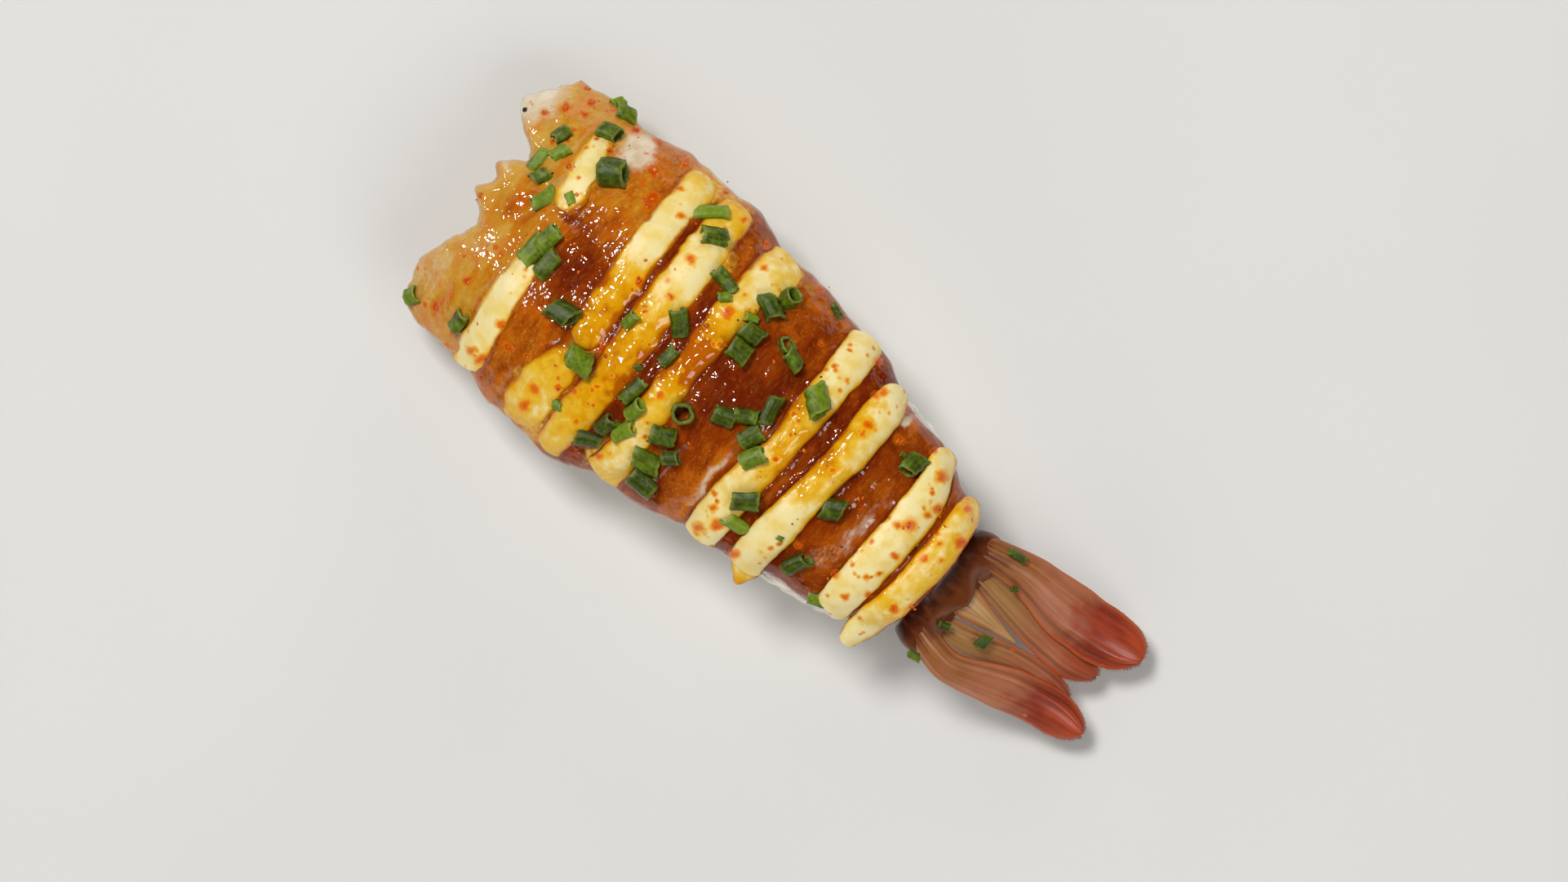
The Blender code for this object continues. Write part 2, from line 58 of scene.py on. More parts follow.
# %% Mesh helper
def make_piece(name, points, *face_blocks, **marks):
    """New smooth mesh object: points (n, 3) in mm, blocks of triangles or quads, and marks.

    A mark is a named number at each point, which a material can read.
    """
    points = np.asarray(points, float).reshape(-1, 3) * MM
    loops = np.concatenate([np.asarray(block).reshape(-1) for block in face_blocks])
    sizes = np.concatenate([np.full(len(block), block.shape[1]) for block in face_blocks])
    starts = np.concatenate([[0], np.cumsum(sizes)[:-1]])
    mesh = bpy.data.meshes.new(name)
    mesh.vertices.add(len(points))
    mesh.vertices.foreach_set("co", points.reshape(-1).astype(np.float32))
    mesh.loops.add(len(loops))
    mesh.loops.foreach_set("vertex_index", loops.astype(np.int32))
    mesh.polygons.add(len(sizes))
    mesh.polygons.foreach_set("loop_start", starts.astype(np.int32))
    mesh.update(calc_edges=True)
    mesh.validate()
    for mark, values in marks.items():
        layer = mesh.attributes.new(mark, "FLOAT", "POINT")
        layer.data.foreach_set("value", np.asarray(values, np.float32).reshape(-1))
    mesh.shade_smooth()
    piece = bpy.data.objects.new(name, mesh)
    bpy.context.scene.collection.objects.link(piece)
    return piece


def dress(piece, material, slot, *nodes):
    """The piece rides on the one body, takes its finish, and may stand for CAD nodes."""
    piece.data.materials.append(material)
    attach(piece, "root")
    if nodes:
        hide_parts(*nodes)
    print(f"{piece.name}: {len(piece.data.polygons)} faces")


# %% [markdown]
# ## Grids of quads
# A surface of two parameters is a grid of points. A sheet is open on all sides, and a
# tube closes in one direction: its last row of quads joins back to the first. A small
# shape that comes many times is worked out once and copied by frames, three directions
# of length 1 for each copy.

# %% Face patterns
def sheet_faces(rows, columns):
    """Quads of an open grid with rows x columns points."""
    i, j = np.meshgrid(np.arange(rows - 1), np.arange(columns - 1), indexing="ij")
    a = (i * columns + j).reshape(-1)
    return np.stack([a, a + columns, a + columns + 1, a + 1], -1)


def tube_faces(rings, sides, start=0):
    """Quads between rings that each close on themselves, from point `start` on."""
    i, k = np.meshgrid(np.arange(rings - 1), np.arange(sides), indexing="ij")
    a, b = start + i * sides + k, start + i * sides + (k + 1) % sides
    return np.stack([a, b, b + sides, a + sides], -1).reshape(-1, 4)


def fan_faces(tip, ring, sides, turned=False):
    """Triangles from one tip point to a ring of points that starts at index ring."""
    k = np.arange(sides)
    a, b = ring + k, ring + (k + 1) % sides
    pair = (b, a) if turned else (a, b)
    return np.stack([np.full(sides, tip), *pair], -1)


def circle(sides):
    """Angles round a circle, in equal steps."""
    return 2 * math.pi * np.arange(sides) / sides


def unit(vectors):
    """The same directions with length 1."""
    return vectors / np.linalg.norm(vectors, axis=-1, keepdims=True)


def copies(shapes, faces, frames, places):
    """A small shape (v, 3) many times, or n shapes (n, v, 3) with the same faces: each
    point is turned by its copy's 3 x 3 frame and moved to its place."""
    points = np.einsum("...vk,...kc->...vc", shapes, frames) + places[:, None, :]
    step = shapes.shape[-2] * np.arange(len(places))
    return points, (faces[None] + step[:, None, None]).reshape(-1, faces.shape[1])


def closed_tubes(name, surfaces, **marks):
    """One mesh of several tubes, each with a fan of triangles over both ends."""
    points, faces, fans, start = [], [], [], 0
    for surface in surfaces:
        rings, sides = surface.shape[:2]
        tips = np.stack([surface[0].mean(0), surface[-1].mean(0)])
        points += [surface.reshape(-1, 3), tips]
        faces.append(tube_faces(rings, sides, start))
        count = start + rings * sides
        fans.append(fan_faces(count, start, sides, True))
        fans.append(fan_faces(count + 1, count - sides, sides))
        start = count + 2
    ends = {}
    for mark, blocks in marks.items():
        parts = [np.concatenate([b.reshape(-1), [b[0].mean(), b[-1].mean()]]) for b in blocks]
        ends[mark] = np.concatenate(parts)
    return make_piece(name, np.concatenate(points), np.concatenate(faces),
                      np.concatenate(fans), **ends)


# %% [markdown]
# ## Curves and soft noise
# Food has no straight lines. Edges and heights run through a few measured stations on a
# smooth curve, and a soft random relief breaks up what is left. The relief is a lattice
# of random heights with an S-curve between them, the same on every run.

# %% Smooth curve and relief
def through(stations, x):
    """Cubic Hermite curve through (x, value) stations, its slopes from the neighbours."""
    xs, vs = np.array(stations, float).T
    slopes = np.gradient(vs, xs)
    x = np.clip(np.asarray(x, float), xs[0], xs[-1])
    i = np.clip(np.searchsorted(xs, x) - 1, 0, len(xs) - 2)
    step = xs[i + 1] - xs[i]
    t = (x - xs[i]) / step
    rise = (1 + 2 * t) * (1 - t) ** 2 * vs[i] + t * (1 - t) ** 2 * step * slopes[i]
    return rise + t * t * (3 - 2 * t) * vs[i + 1] + t * t * (t - 1) * step * slopes[i + 1]


def soft_step(low, high, x):
    """0 below low, 1 above high, an S-curve between."""
    t = np.clip((np.asarray(x, float) - low) / (high - low), 0, 1)
    return t * t * (3 - 2 * t)


# points of the lattice each way, and a shift that keeps every place on its positive side
LATTICE, LATTICE_SHIFT = 128, 640.5


def wobble(x, y, size, seed):
    """Relief from -1 to 1: random lattice heights `size` mm apart, S-curved between."""
    lattice = np.random.default_rng(seed).uniform(-1, 1, (LATTICE, LATTICE))
    u = np.asarray(x, float) / size + LATTICE_SHIFT
    v = np.asarray(y, float) / size + LATTICE_SHIFT
    i, j = np.floor(u).astype(int), np.floor(v).astype(int)
    share_u, share_v = soft_step(0, 1, u - i), soft_step(0, 1, v - j)
    i, j = i % LATTICE, j % LATTICE
    next_i, next_j = (i + 1) % LATTICE, (j + 1) % LATTICE
    near = lattice[i, j] * (1 - share_u) + lattice[next_i, j] * share_u
    far = lattice[i, next_j] * (1 - share_u) + lattice[next_i, next_j] * share_u
    return near * (1 - share_v) + far * share_v


def quarter_circle(x):
    """0 below 0, 1 above 1, a quarter of a circle between."""
    return np.sqrt(1 - (1 - np.clip(x, 0, 1)) ** 2)


def squared_off(value, power):
    """The power of a sine or cosine with its sign kept: a superellipse."""
    return np.sign(value) * np.abs(value) ** power


def spot(x, y, centre_x, centre_y, reach_x, reach_y):
    """A soft round patch: 1 in its middle, falling off as a bell."""
    return np.exp(-((x - centre_x) / reach_x) ** 2 - ((y - centre_y) / reach_y) ** 2)


# %% [markdown]
# ## Node maths that reads like maths
# A shader graph is a formula. Wrapping a socket in a small class lets the formula be
# written as one: each operator adds its Math node and returns the new socket. Colours go
# through Mix nodes instead, because a Math node would turn them grey. One method makes
# every other node.

# %% Shader helper
class Socket:
    """An output socket that can be added to, taken away and multiplied."""

    def __init__(self, recipe, socket):
        self.recipe, self.socket = recipe, socket

    def sum_up(self, operation, first, second):
        return self.recipe.node("ShaderNodeMath", {"operation": operation},
                                {0: first, 1: second})

    def __add__(self, other):
        return self.sum_up("ADD", self, other)

    def __mul__(self, other):
        return self.sum_up("MULTIPLY", self, other)

    def __sub__(self, other):
        return self.sum_up("SUBTRACT", self, other)

    def __rsub__(self, other):
        return self.sum_up("SUBTRACT", other, self)

    __radd__ = __add__
    __rmul__ = __mul__

    def above(self, low, high):
        """0 below low, 1 above high, an S-curve between."""
        return self.recipe.node(
            "ShaderNodeMapRange", {"interpolation_type": "SMOOTHSTEP"},
            {"Value": self, "From Min": low, "From Max": high})


class Recipe:
    """One material: its nodes, the colours mixed in it and its Principled shader."""

    def __init__(self, name):
        self.material = bpy.data.materials.new(name)
        self.material.use_nodes = True
        self.nodes = self.material.node_tree.nodes
        self.links = self.material.node_tree.links
        self.shader = self.nodes["Principled BSDF"]
        place = self.node("ShaderNodeTexCoord", output="Object")
        # the point's place in mm
        self.place = self.node("ShaderNodeVectorMath", {"operation": "SCALE"},
                               {0: place, "Scale": 1 / MM})

    def put(self, node, sockets):
        """Gives each named or numbered socket its link, its colour or its number."""
        for key, value in sockets.items():
            target = node.inputs[key]
            if isinstance(value, Socket):
                self.links.new(value.socket, target)
            elif isinstance(value, tuple) and target.type == "RGBA":
                target.default_value = (*value, 1.0)
            else:
                target.default_value = value

    def node(self, kind, settings=None, sockets=None, output=0):
        """Any node: its type, its settings first, then the values or links it takes."""
        node = self.nodes.new(kind)
        for key, value in (settings or {}).items():
            setattr(node, key, value)
        self.put(node, sockets or {})
        return Socket(self, node.outputs[output])

    def mark(self, name):
        """A number stored at the mesh's points."""
        return self.node("ShaderNodeAttribute", {"attribute_name": name}, output="Fac")

    def noise(self, size, detail=2.0, stretch=(1, 1, 1), rough=0.5):
        """Noise from 0 to 1 whose lumps are about `size` mm, drawn out along an axis."""
        place = self.place
        if stretch != (1, 1, 1):
            place = self.node("ShaderNodeVectorMath", {"operation": "MULTIPLY"},
                              {0: place, 1: tuple(1 / s for s in stretch)})
        return self.node("ShaderNodeTexNoise", {}, {
            "Vector": place, "Scale": 1 / size, "Detail": detail, "Roughness": rough})

    def veins(self, across, along, count, breaks):
        """Noise over two marks: about `count` lines side by side, `breaks` along each. A
        little of the point's Y comes in, so that no two blades get the same lines."""
        place_y = self.node("ShaderNodeSeparateXYZ", {}, {0: self.place}, "Y")
        place = self.node("ShaderNodeCombineXYZ", {}, {
            "X": across * count, "Y": along * breaks, "Z": place_y * 0.05})
        return self.node("ShaderNodeTexNoise", {}, {
            "Vector": place, "Scale": 1.0, "Detail": 2.0, "Roughness": 0.6})

    def cells(self, size):
        """Distance to the nearest of scattered points about `size` mm apart."""
        return self.node("ShaderNodeTexVoronoi", {"feature": "F1"},
                         {"Vector": self.place, "Scale": 1 / size}, "Distance")

    def mix(self, amount, first, second):
        """Colour between first and second. A Mix node keeps its colours at 6, 7 and 2."""
        return self.node("ShaderNodeMix", {"data_type": "RGBA"},
                         {0: amount, 6: first, 7: second}, 2)

    def tones(self, where, colour, table):
        """From a first colour through each row's own: it begins at low, is full at high."""
        for low, high, tone in table:
            colour = self.mix(where.above(low, high), colour, srgb(*tone))
        return colour

    def bump(self, height, depth, below=None):
        """Normal from a height of 0 to 1 that stands for `depth` mm."""
        sockets = {"Height": height, "Distance": depth * MM, "Strength": 1.0}
        if below is not None:
            sockets["Normal"] = below
        return self.node("ShaderNodeBump", {}, sockets)

    def finish(self, **sockets):
        """Sets the shader's sockets, named with _ for spaces, and gives the material."""
        self.put(self.shader, {key.replace("_", " "): v for key, v in sockets.items()})
        return self.material


def srgb(red, green, blue):
    """A colour as picked on screen, 0 to 255, turned into light values."""
    parts = np.array([red, green, blue]) / 255
    light = np.where(parts < 0.04045, parts / 12.92, ((parts + 0.055) / 1.055) ** 2.4)
    return tuple(float(v) for v in light)


# %% [markdown]
# ## The shrimp's own measures
# These are the dimensions that the solid pieces were built from, so what is made here
# lies where they lie: the outline of the opened meat, the curve of its underside over the
# rice, its thickness, and the lines where one muscle segment meets the next.

# %% Meat measures
UPPER_EDGE = [(-46.5, 18.4), (-36, 18.9), (-25.5, 19.8), (-12, 17.8), (2, 15.9),
              (10, 13.0), (18, 11.0), (24, 8.0)]
LOWER_EDGE = [(-46.5, -16.9), (-36, -18.1), (-23, -19.9), (-13, -17.7), (1, -15.4),
              (13, -13.1), (20, -11.8), (24, -10.2)]
UNDERSIDE = [(-52, 10.0), (-46, 13.0), (-40, 15.8), (-32, 18.2), (-18, 19.9),
             (-2, 20.2), (10, 19.4), (18, 17.6), (26, 15.0)]
FURROW = [(-46, 6.6), (-36, 4.2), (-9, 2.7), (11, 2.6), (20, 0.6), (26, -0.9)]
FRONT_X, REAR_X, REAR_ROUNDING = -46.1, 25.6, 3.2
# (y, x) along the torn head end
FRONT_EDGE = [(-18.5, -45.2), (-16.6, -46.9), (-14.0, -48.0), (-11.4, -48.6), (-8.0, -47.5),
              (-5.0, -46.3), (-3.2, -45.8), (-1.6, -47.4), (-0.2, -48.9), (1.2, -48.0),
              (2.2, -47.6), (4.0, -48.6), (5.2, -47.6), (6.4, -46.0), (7.6, -46.6),
              (9.4, -49.2), (11.6, -51.6), (14.6, -50.1), (17.2, -48.4), (19.5, -46.6)]
DRAPE_REACH, DRAPE_DROP, DRAPE_POWER = 15.0, 4.0, 2.2
MEAT_THICK_MIDDLE, MEAT_THICK_EDGE, THIN_END_LENGTH = 5.0, 2.2, 12.0
EDGE_WAVE, EDGE_WAVE_LENGTH = 0.35, 11.4
SEGMENT_GROOVES = [-36.5, -25.0, -13.6, -2.4, 9.0, 17.8]
GROOVE_DEPTH, GROOVE_WIDTH, GROOVE_BOW = 0.55, 1.3, 2.0
FURROW_DEPTH, FURROW_WIDTH = 0.9, 1.5
RICE_FRONT, RICE_REAR = -38.8, 23.6
RICE_HALF_WIDTH, RICE_TAPER = 14.2, 2.4
RICE_SHIFT_START, RICE_SHIFT_RUN, RICE_SHIFT_REAR = -10, 30, -0.9


def rice_middle(x):
    """The rice leans slightly to -Y towards the tail, in a straight line."""
    along = (np.asarray(x, float) - RICE_SHIFT_START) / RICE_SHIFT_RUN
    return RICE_SHIFT_REAR * np.clip(along, 0, 1)


def middle_and_half(x):
    """Middle line and half width of the meat: its edges wave a little along x."""
    wave = EDGE_WAVE * np.sin(2 * math.pi * np.asarray(x, float) / EDGE_WAVE_LENGTH)
    upper, lower = through(UPPER_EDGE, x) + wave, through(LOWER_EDGE, x) - wave
    return (upper + lower) / 2, (upper - lower) / 2


def underside(x, y):
    """Lower face of the meat: crown along x, less a drop that grows across y."""
    reach = np.abs(y - rice_middle(x)) / DRAPE_REACH
    return through(UNDERSIDE, x) - DRAPE_DROP * reach ** DRAPE_POWER


def meat_thickness(x, y):
    """Thick in the middle, less a power of the way to the side, thinned at the head end."""
    middle, half = middle_and_half(x)
    v = np.clip(np.abs(y - middle) / half, 0, 1.25)
    thick = MEAT_THICK_EDGE + (MEAT_THICK_MIDDLE - MEAT_THICK_EDGE) * (1 - v ** 2.5)
    return thick * (0.55 + 0.45 * np.clip((x - FRONT_X) / THIN_END_LENGTH, 0, 1))


# %% [markdown]
# ## Where the stripes run
# The sauce was piped across the shrimp in ten strokes, and a drip hangs from one of them
# at the rim. Each is a few points along its middle, with the width there and how far it
# has turned from cream to amber, where glaze has run over it. The stripes near the tail
# stand up round, those near the head have slumped. A stroke that stops at the rim has a
# blunt end.

# %% Stripe table
# height, slump from 0 for round to 1 for flat, rounding of the first and of the last end,
# then (x, y, width, amber)
STRIPES = [
    (0.6, 0.9, 2.0, 2.0, [
        (-40.6, 15.4, 3.0, 0.2), (-39.8, 11.0, 4.3, 0.0), (-39.3, 8.0, 4.6, 0.05),
        (-38.9, 4.2, 3.8, 0.4)]),
    (0.9, 0.55, 1.2, 0.9, [
        (-37.8, -2.8, 4.0, 0.1), (-37.3, -8.0, 4.4, 0.0), (-36.9, -12.0, 4.3, 0.0),
        (-36.3, -15.0, 4.6, 0.0), (-35.8, -17.8, 4.5, 0.15)]),
    (0.9, 0.8, 1.2, 1.6, [
        (-27.6, 18.5, 4.8, 0.45), (-27.7, 14.0, 5.0, 0.0), (-27.8, 10.0, 5.0, -0.1),
        (-27.6, 6.0, 4.9, 0.2), (-27.3, 3.0, 5.0, 0.65), (-27.1, 0.0, 5.0, 0.9),
        (-26.8, -3.0, 5.0, 0.95), (-26.4, -7.0, 4.4, 0.85)]),
    (0.8, 0.95, 1.8, 1.4, [
        (-26.2, -7.6, 4.2, 0.85), (-26.8, -12.0, 6.4, 0.45), (-27.0, -16.0, 6.8, 0.4),
        (-26.8, -18.9, 6.2, 0.6)]),
    (1.2, 0.6, 1.2, 1.2, [
        (-22.3, 18.2, 5.2, 0.55), (-22.1, 13.0, 5.5, 0.25), (-21.8, 9.0, 5.7, 0.0),
        (-21.8, 6.0, 5.7, 0.1), (-21.9, 3.0, 5.4, 0.5), (-21.7, 0.0, 5.5, 0.8),
        (-21.4, -4.0, 5.2, 0.95), (-21.2, -8.0, 5.2, 0.9), (-21.2, -12.0, 5.4, 0.65),
        (-21.5, -16.0, 5.2, 0.45), (-21.8, -18.9, 4.8, 0.45)]),
    (1.1, 0.55, 1.2, 1.2, [
        (-13.4, 17.4, 6.2, 0.4), (-14.0, 14.0, 5.8, 0.2), (-14.5, 11.0, 5.0, 0.2),
        (-14.6, 8.0, 5.2, 0.4), (-14.7, 5.0, 4.7, 0.8), (-14.7, 2.0, 4.4, 1.9),
        (-14.7, -1.0, 4.2, 1.7), (-14.7, -4.0, 4.6, 0.7), (-14.5, -7.0, 4.7, 0.4),
        (-14.2, -10.0, 4.9, 0.35), (-14.1, -13.0, 5.2, 0.25), (-14.4, -17.3, 6.0, 0.4)]),
    (1.6, 0.1, 0.9, 0.9, [
        (0.1, 15.6, 4.9, 0.1), (0.2, 13.0, 5.0, 0.0), (0.35, 10.0, 4.8, 0.1),
        (0.25, 7.0, 4.8, 0.2), (0.1, 5.0, 4.7, 0.4), (0.2, 2.5, 4.5, 0.55),
        (0.3, 0.0, 4.2, 0.6), (0.2, -3.0, 4.3, 0.5), (-0.4, -6.0, 5.0, 0.2),
        (-0.6, -9.0, 5.3, 0.1), (-0.6, -12.0, 5.2, -0.15), (-0.5, -15.3, 4.8, -0.15)]),
    (1.7, 0.12, 1.8, 0.9, [
        (6.6, 13.6, 3.2, 0.1), (7.0, 11.4, 4.6, 0.05), (7.1, 8.5, 5.1, 0.05),
        (7.1, 6.0, 5.0, 0.1), (7.0, 3.0, 4.8, 0.4), (6.7, 0.0, 4.7, 0.5),
        (6.5, -3.0, 4.7, 0.35), (6.2, -6.0, 4.9, 0.1), (6.0, -9.0, 5.2, 0.0),
        (5.8, -12.0, 5.3, -0.2), (5.8, -14.8, 5.0, -0.2)]),
    (1.0, 0.4, 0.8, 0.7, [
        (5.9, -12.6, 4.8, 0.0), (6.2, -15.0, 3.4, 0.3), (6.6, -16.8, 1.4, 1.3)]),
    (1.7, 0.05, 1.7, 1.0, [
        (15.5, 11.5, 2.4, 0.3), (16.6, 9.9, 3.9, 0.15), (17.5, 7.0, 4.8, 0.0),
        (17.8, 4.0, 5.2, 0.0), (17.9, 1.0, 5.3, 0.05), (17.9, -2.0, 5.3, 0.1),
        (17.7, -5.0, 5.3, 0.0), (17.5, -8.0, 5.2, -0.2), (17.2, -11.8, 4.8, -0.2)]),
    (1.5, 0.1, 1.3, 0.9, [
        (21.6, 9.0, 2.4, 0.7), (22.6, 7.6, 3.7, 0.4), (23.0, 5.0, 4.1, 0.25),
        (23.1, 2.0, 4.3, 0.34), (23.1, -1.0, 4.4, 0.34), (23.0, -4.0, 4.3, 0.25),
        (22.7, -7.0, 4.1, 0.34), (22.1, -9.5, 4.0, 0.15), (21.6, -11.6, 3.5, 0.0),
        (21.3, -14.0, 2.3, -0.1)]),
]
# glaze that has run onto the cream: x, y, reach along x, reach across y, amber
GLAZE_RUNS = [
    (5.2, 5.0, 1.5, 6.5, 0.75), (-1.6, 4.0, 1.4, 3.0, 0.5), (-16.6, -8.0, 0.8, 6.0, 0.4),
    (1.9, -6.0, 0.8, 5.0, 0.35), (21.0, 4.0, 0.7, 5.0, 0.5), (-19.6, -4.0, 0.9, 6.0, 0.5),
    (-24.6, 2.0, 0.8, 5.0, 0.5),
]


def stripe_at(points, y):
    """Middle line and half width of a stroke where it crosses y, and whether it does."""
    order = sorted(points, key=lambda p: p[1])
    centre = through([(p[1], p[0]) for p in order], y)
    half = through([(p[1], p[2] / 2) for p in order], y)
    inside = soft_step(order[0][1] - 1, order[0][1] + 0.5, y)
    return centre, half, inside * (1 - soft_step(order[-1][1] - 0.5, order[-1][1] + 1, y))


def stripe_cover(x, y):
    """Height of the piped sauce over the meat at every x, y, and 0 beside it."""
    cover = np.zeros(np.broadcast(x, y).shape)
    for height, *_, points in STRIPES:
        centre, half, inside = stripe_at(points, y)
        off = np.clip(np.abs(x - centre) / half, 0, 1)
        cover = np.maximum(cover, height * inside * np.sqrt(1 - off ** 2))
    return cover


def under_stripe(x, y):
    """1 where a stripe lies on the meat, 0 beside it."""
    share = np.zeros(np.broadcast(x, y).shape)
    for *_, points in STRIPES:
        centre, half, inside = stripe_at(points, y)
        off = np.abs(x - centre) / half
        share = np.maximum(share, inside * (1 - soft_step(0.78, 1.02, off)))
    return share


def stripe_nearness(x, y, reach):
    """1 at the foot of a stripe, 0 from `reach` mm away from it."""
    near = np.zeros(np.broadcast(x, y).shape)
    for *_, points in STRIPES:
        centre, half, inside = stripe_at(points, y)
        gap = np.abs(np.abs(x - centre) - half)
        near = near + inside * np.clip(1 - gap / reach, 0, 1) ** 2
    return np.clip(near, 0, 1.3)


# %% [markdown]
# ## Glaze: how deep it stands
# The glaze is thin sauce, so it isn't a solid of its own: it levels the meat's surface
# and colours it. It thickens from the head end towards the tail, stands deepest in the
# hollows of the back, and has run off elsewhere. In the narrow gaps between close stripes
# it is set deep as well, so these are darker: partly glaze, partly painted shade that the
# stripes cast. One function gives its depth from 0 to 1, and the mesh keeps that number
# at each point for the material.

# %% Glaze depth
# (x, depth) of the glaze at large
GLAZE_ALONG = [(-52, 0.0), (-46, 0.1), (-42, 0.2), (-38, 0.36), (-34, 0.52), (-30, 0.56),
               (-25, 0.66), (-18, 0.8), (-13, 0.78), (-8, 0.8), (-3, 0.74), (4, 0.92),
               (11, 0.84), (16, 0.76), (21, 0.82), (26, 0.8)]
# x, y, reach along x, reach across y, and the depth there
# the thin rows at x -24.9, -18.2, -17.9 and 20.7 lie in the gaps between stripes: their depth is
# partly glaze and partly painted shade cast by the stripes
GLAZE_AND_SHADE_PATCHES = [
    (-33.0, 11.0, 2.6, 4.5, 0.42), (-35.6, 9.4, 1.3, 2.6, 0.24), (-33.0, 0.5, 3.8, 4.4, 1.06),
    (-37.0, 4.2, 2.0, 0.6, 0.95), (-32.0, -14.5, 1.8, 4.5, 0.7), (-43.0, 1.0, 2.6, 2.8, 0.5),
    (-43.5, -7.0, 3.4, 5.0, 0.1), (-42.0, -14.0, 3.5, 2.6, 0.32), (-24.9, 4.0, 0.6, 9.0, 0.92),
    (-18.2, 6.0, 1.2, 6.0, 0.95), (-17.9, -7.0, 1.1, 10.0, 1.0), (-17.8, 15.0, 1.4, 3.6, 0.68),
    (-8.8, 1.5, 3.8, 5.0, 1.05), (-5.5, 5.0, 3.0, 3.8, 0.98), (-7.5, 13.5, 4.5, 4.0, 0.78),
    (-30.6, -5.2, 1.6, 1.2, 1.0), (-6.2, -10.0, 2.4, 6.0, 0.64), (-8.9, -10.0, 0.8, 6.5, 1.0),
    (-4.2, -9.5, 0.7, 5.0, 0.36), (3.7, 3.0, 1.3, 12.0, 1.0), (2.9, -9.5, 1.0, 6.5, 0.8),
    (12.6, 9.5, 2.0, 2.3, 0.74), (10.2, 1.0, 1.3, 3.4, 0.9), (12.8, -5.0, 2.0, 5.0, 0.72),
    (20.7, -1.0, 0.6, 9.0, 0.66),
]
# thin smeared cream
CREAM_FILM = [
    (-39.2, 11.0, 2.5, 5.6, 0.75), (-25.2, 18.4, 4.6, 2.0, 1.0), (-26.6, -14.0, 3.8, 5.2, 0.95),
    (-24.2, -17.5, 2.0, 2.5, 0.8), (-12.5, 16.5, 4.0, 1.8, 0.7), (-15.8, -15.5, 2.6, 3.6, 0.7),
    (-38.8, 2.6, 1.8, 1.0, 0.4), (-29.9, 10.0, 0.9, 6.0, 0.5), (-44.5, 13.0, 2.0, 3.0, 0.25),
    (15.0, -9.0, 0.7, 3.0, 0.3), (-24.6, -12.0, 1.2, 6.0, 0.7), (-19.0, 12.0, 1.2, 3.0, 0.6),
]
# flesh that has stayed pale; from row FIRST_RIDGE on, each patch is a low ridge too
FIRST_RIDGE = 5
PALE_FLESH = [
    (-50.0, 13.6, 2.4, 4.0, 1.0), (-36.2, 15.8, 2.0, 1.9, 1.3), (-46.4, -11.0, 2.2, 4.6, 0.3),
    (-43.5, -5.5, 2.4, 2.0, 0.25), (-47.6, 4.4, 1.2, 1.2, 0.4), (-4.2, -9.5, 0.5, 5.0, 0.5),
    (-9.1, -11.5, 0.4, 3.6, 0.3), (9.6, 11.6, 0.9, 1.6, 0.6), (13.9, -2.5, 0.9, 5.5, 0.34),
    (12.4, -8.0, 1.4, 2.6, 0.22),
]


def patches(table, x, y):
    """Highest of the soft patches of a table at every x, y, with ragged outlines."""
    x, y = x + 0.7 * wobble(x, y, 1.5, 25), y + 0.9 * wobble(x, y, 1.8, 26)
    amount = np.zeros(np.broadcast(x, y).shape)
    for centre_x, centre_y, reach_x, reach_y, strength in table:
        amount = np.maximum(amount, strength * spot(x, y, centre_x, centre_y, reach_x, reach_y))
    return amount


def glaze_depth(x, y):
    """The depth along x, pulled by each patch to its own, with a rim at the foot of the
    stripes and a noise drawn out across the shrimp."""
    bent_x = x + 0.5 * wobble(x, y, 2.2, 3)
    bent_y = y + 0.8 * wobble(x, y, 2.6, 4)
    depth = through(GLAZE_ALONG, bent_x)
    for centre_x, centre_y, reach_x, reach_y, level in GLAZE_AND_SHADE_PATCHES:
        pull = spot(bent_x, bent_y, centre_x, centre_y, reach_x, reach_y)
        depth = depth + (level - depth) * pull
    depth = depth + 0.1 * wobble(x, 0.4 * y, 2.0, 5) + 0.07 * wobble(x, 0.5 * y, 0.9, 6)
    return np.clip(depth + 0.16 * stripe_nearness(x, y, 0.9), 0, 1.1)


# %% [markdown]
# ## Relief of the meat
# A cooked shrimp's back swells between the lines where its segments meet, and fibres run
# across it. The furrow down the middle is where it was split. All of that is levelled
# where glaze stands deep, so the relief is multiplied by what the glaze leaves bare.

# %% Meat relief
def meat_relief(x, y):
    """Grooves between segments, the furrow and lumps, and apart from them the fibres, in mm."""
    bow = GROOVE_BOW * (y / DRAPE_REACH) ** 2 + 0.5 * wobble(x, y, 6.0, 11)
    relief = 0.16 * wobble(x, y, 5.0, 12) + 0.10 * wobble(x, y, 2.6, 13)
    for groove in SEGMENT_GROOVES:
        relief = relief - GROOVE_DEPTH * np.exp(-((x - groove + bow) / GROOVE_WIDTH) ** 2)
    relief = relief - FURROW_DEPTH * np.exp(-((y - through(FURROW, x)) / FURROW_WIDTH) ** 2)
    relief = relief + 0.3 * patches(PALE_FLESH[FIRST_RIDGE:], x, y)
    curl = y + 0.6 * wobble(x, y, 1.6, 18)
    fibres = 0.03 * wobble(x, curl * 0.25, 0.5, 14) + 0.04 * wobble(x * 0.5, curl, 0.9, 15)
    return relief, fibres


def ripples(x, y):
    """The uneven skin of the glaze, in mm. Its slopes are what catches the light."""
    return 0.09 * wobble(x, y, 1.8, 16) + 0.03 * wobble(x, y, 0.9, 17)


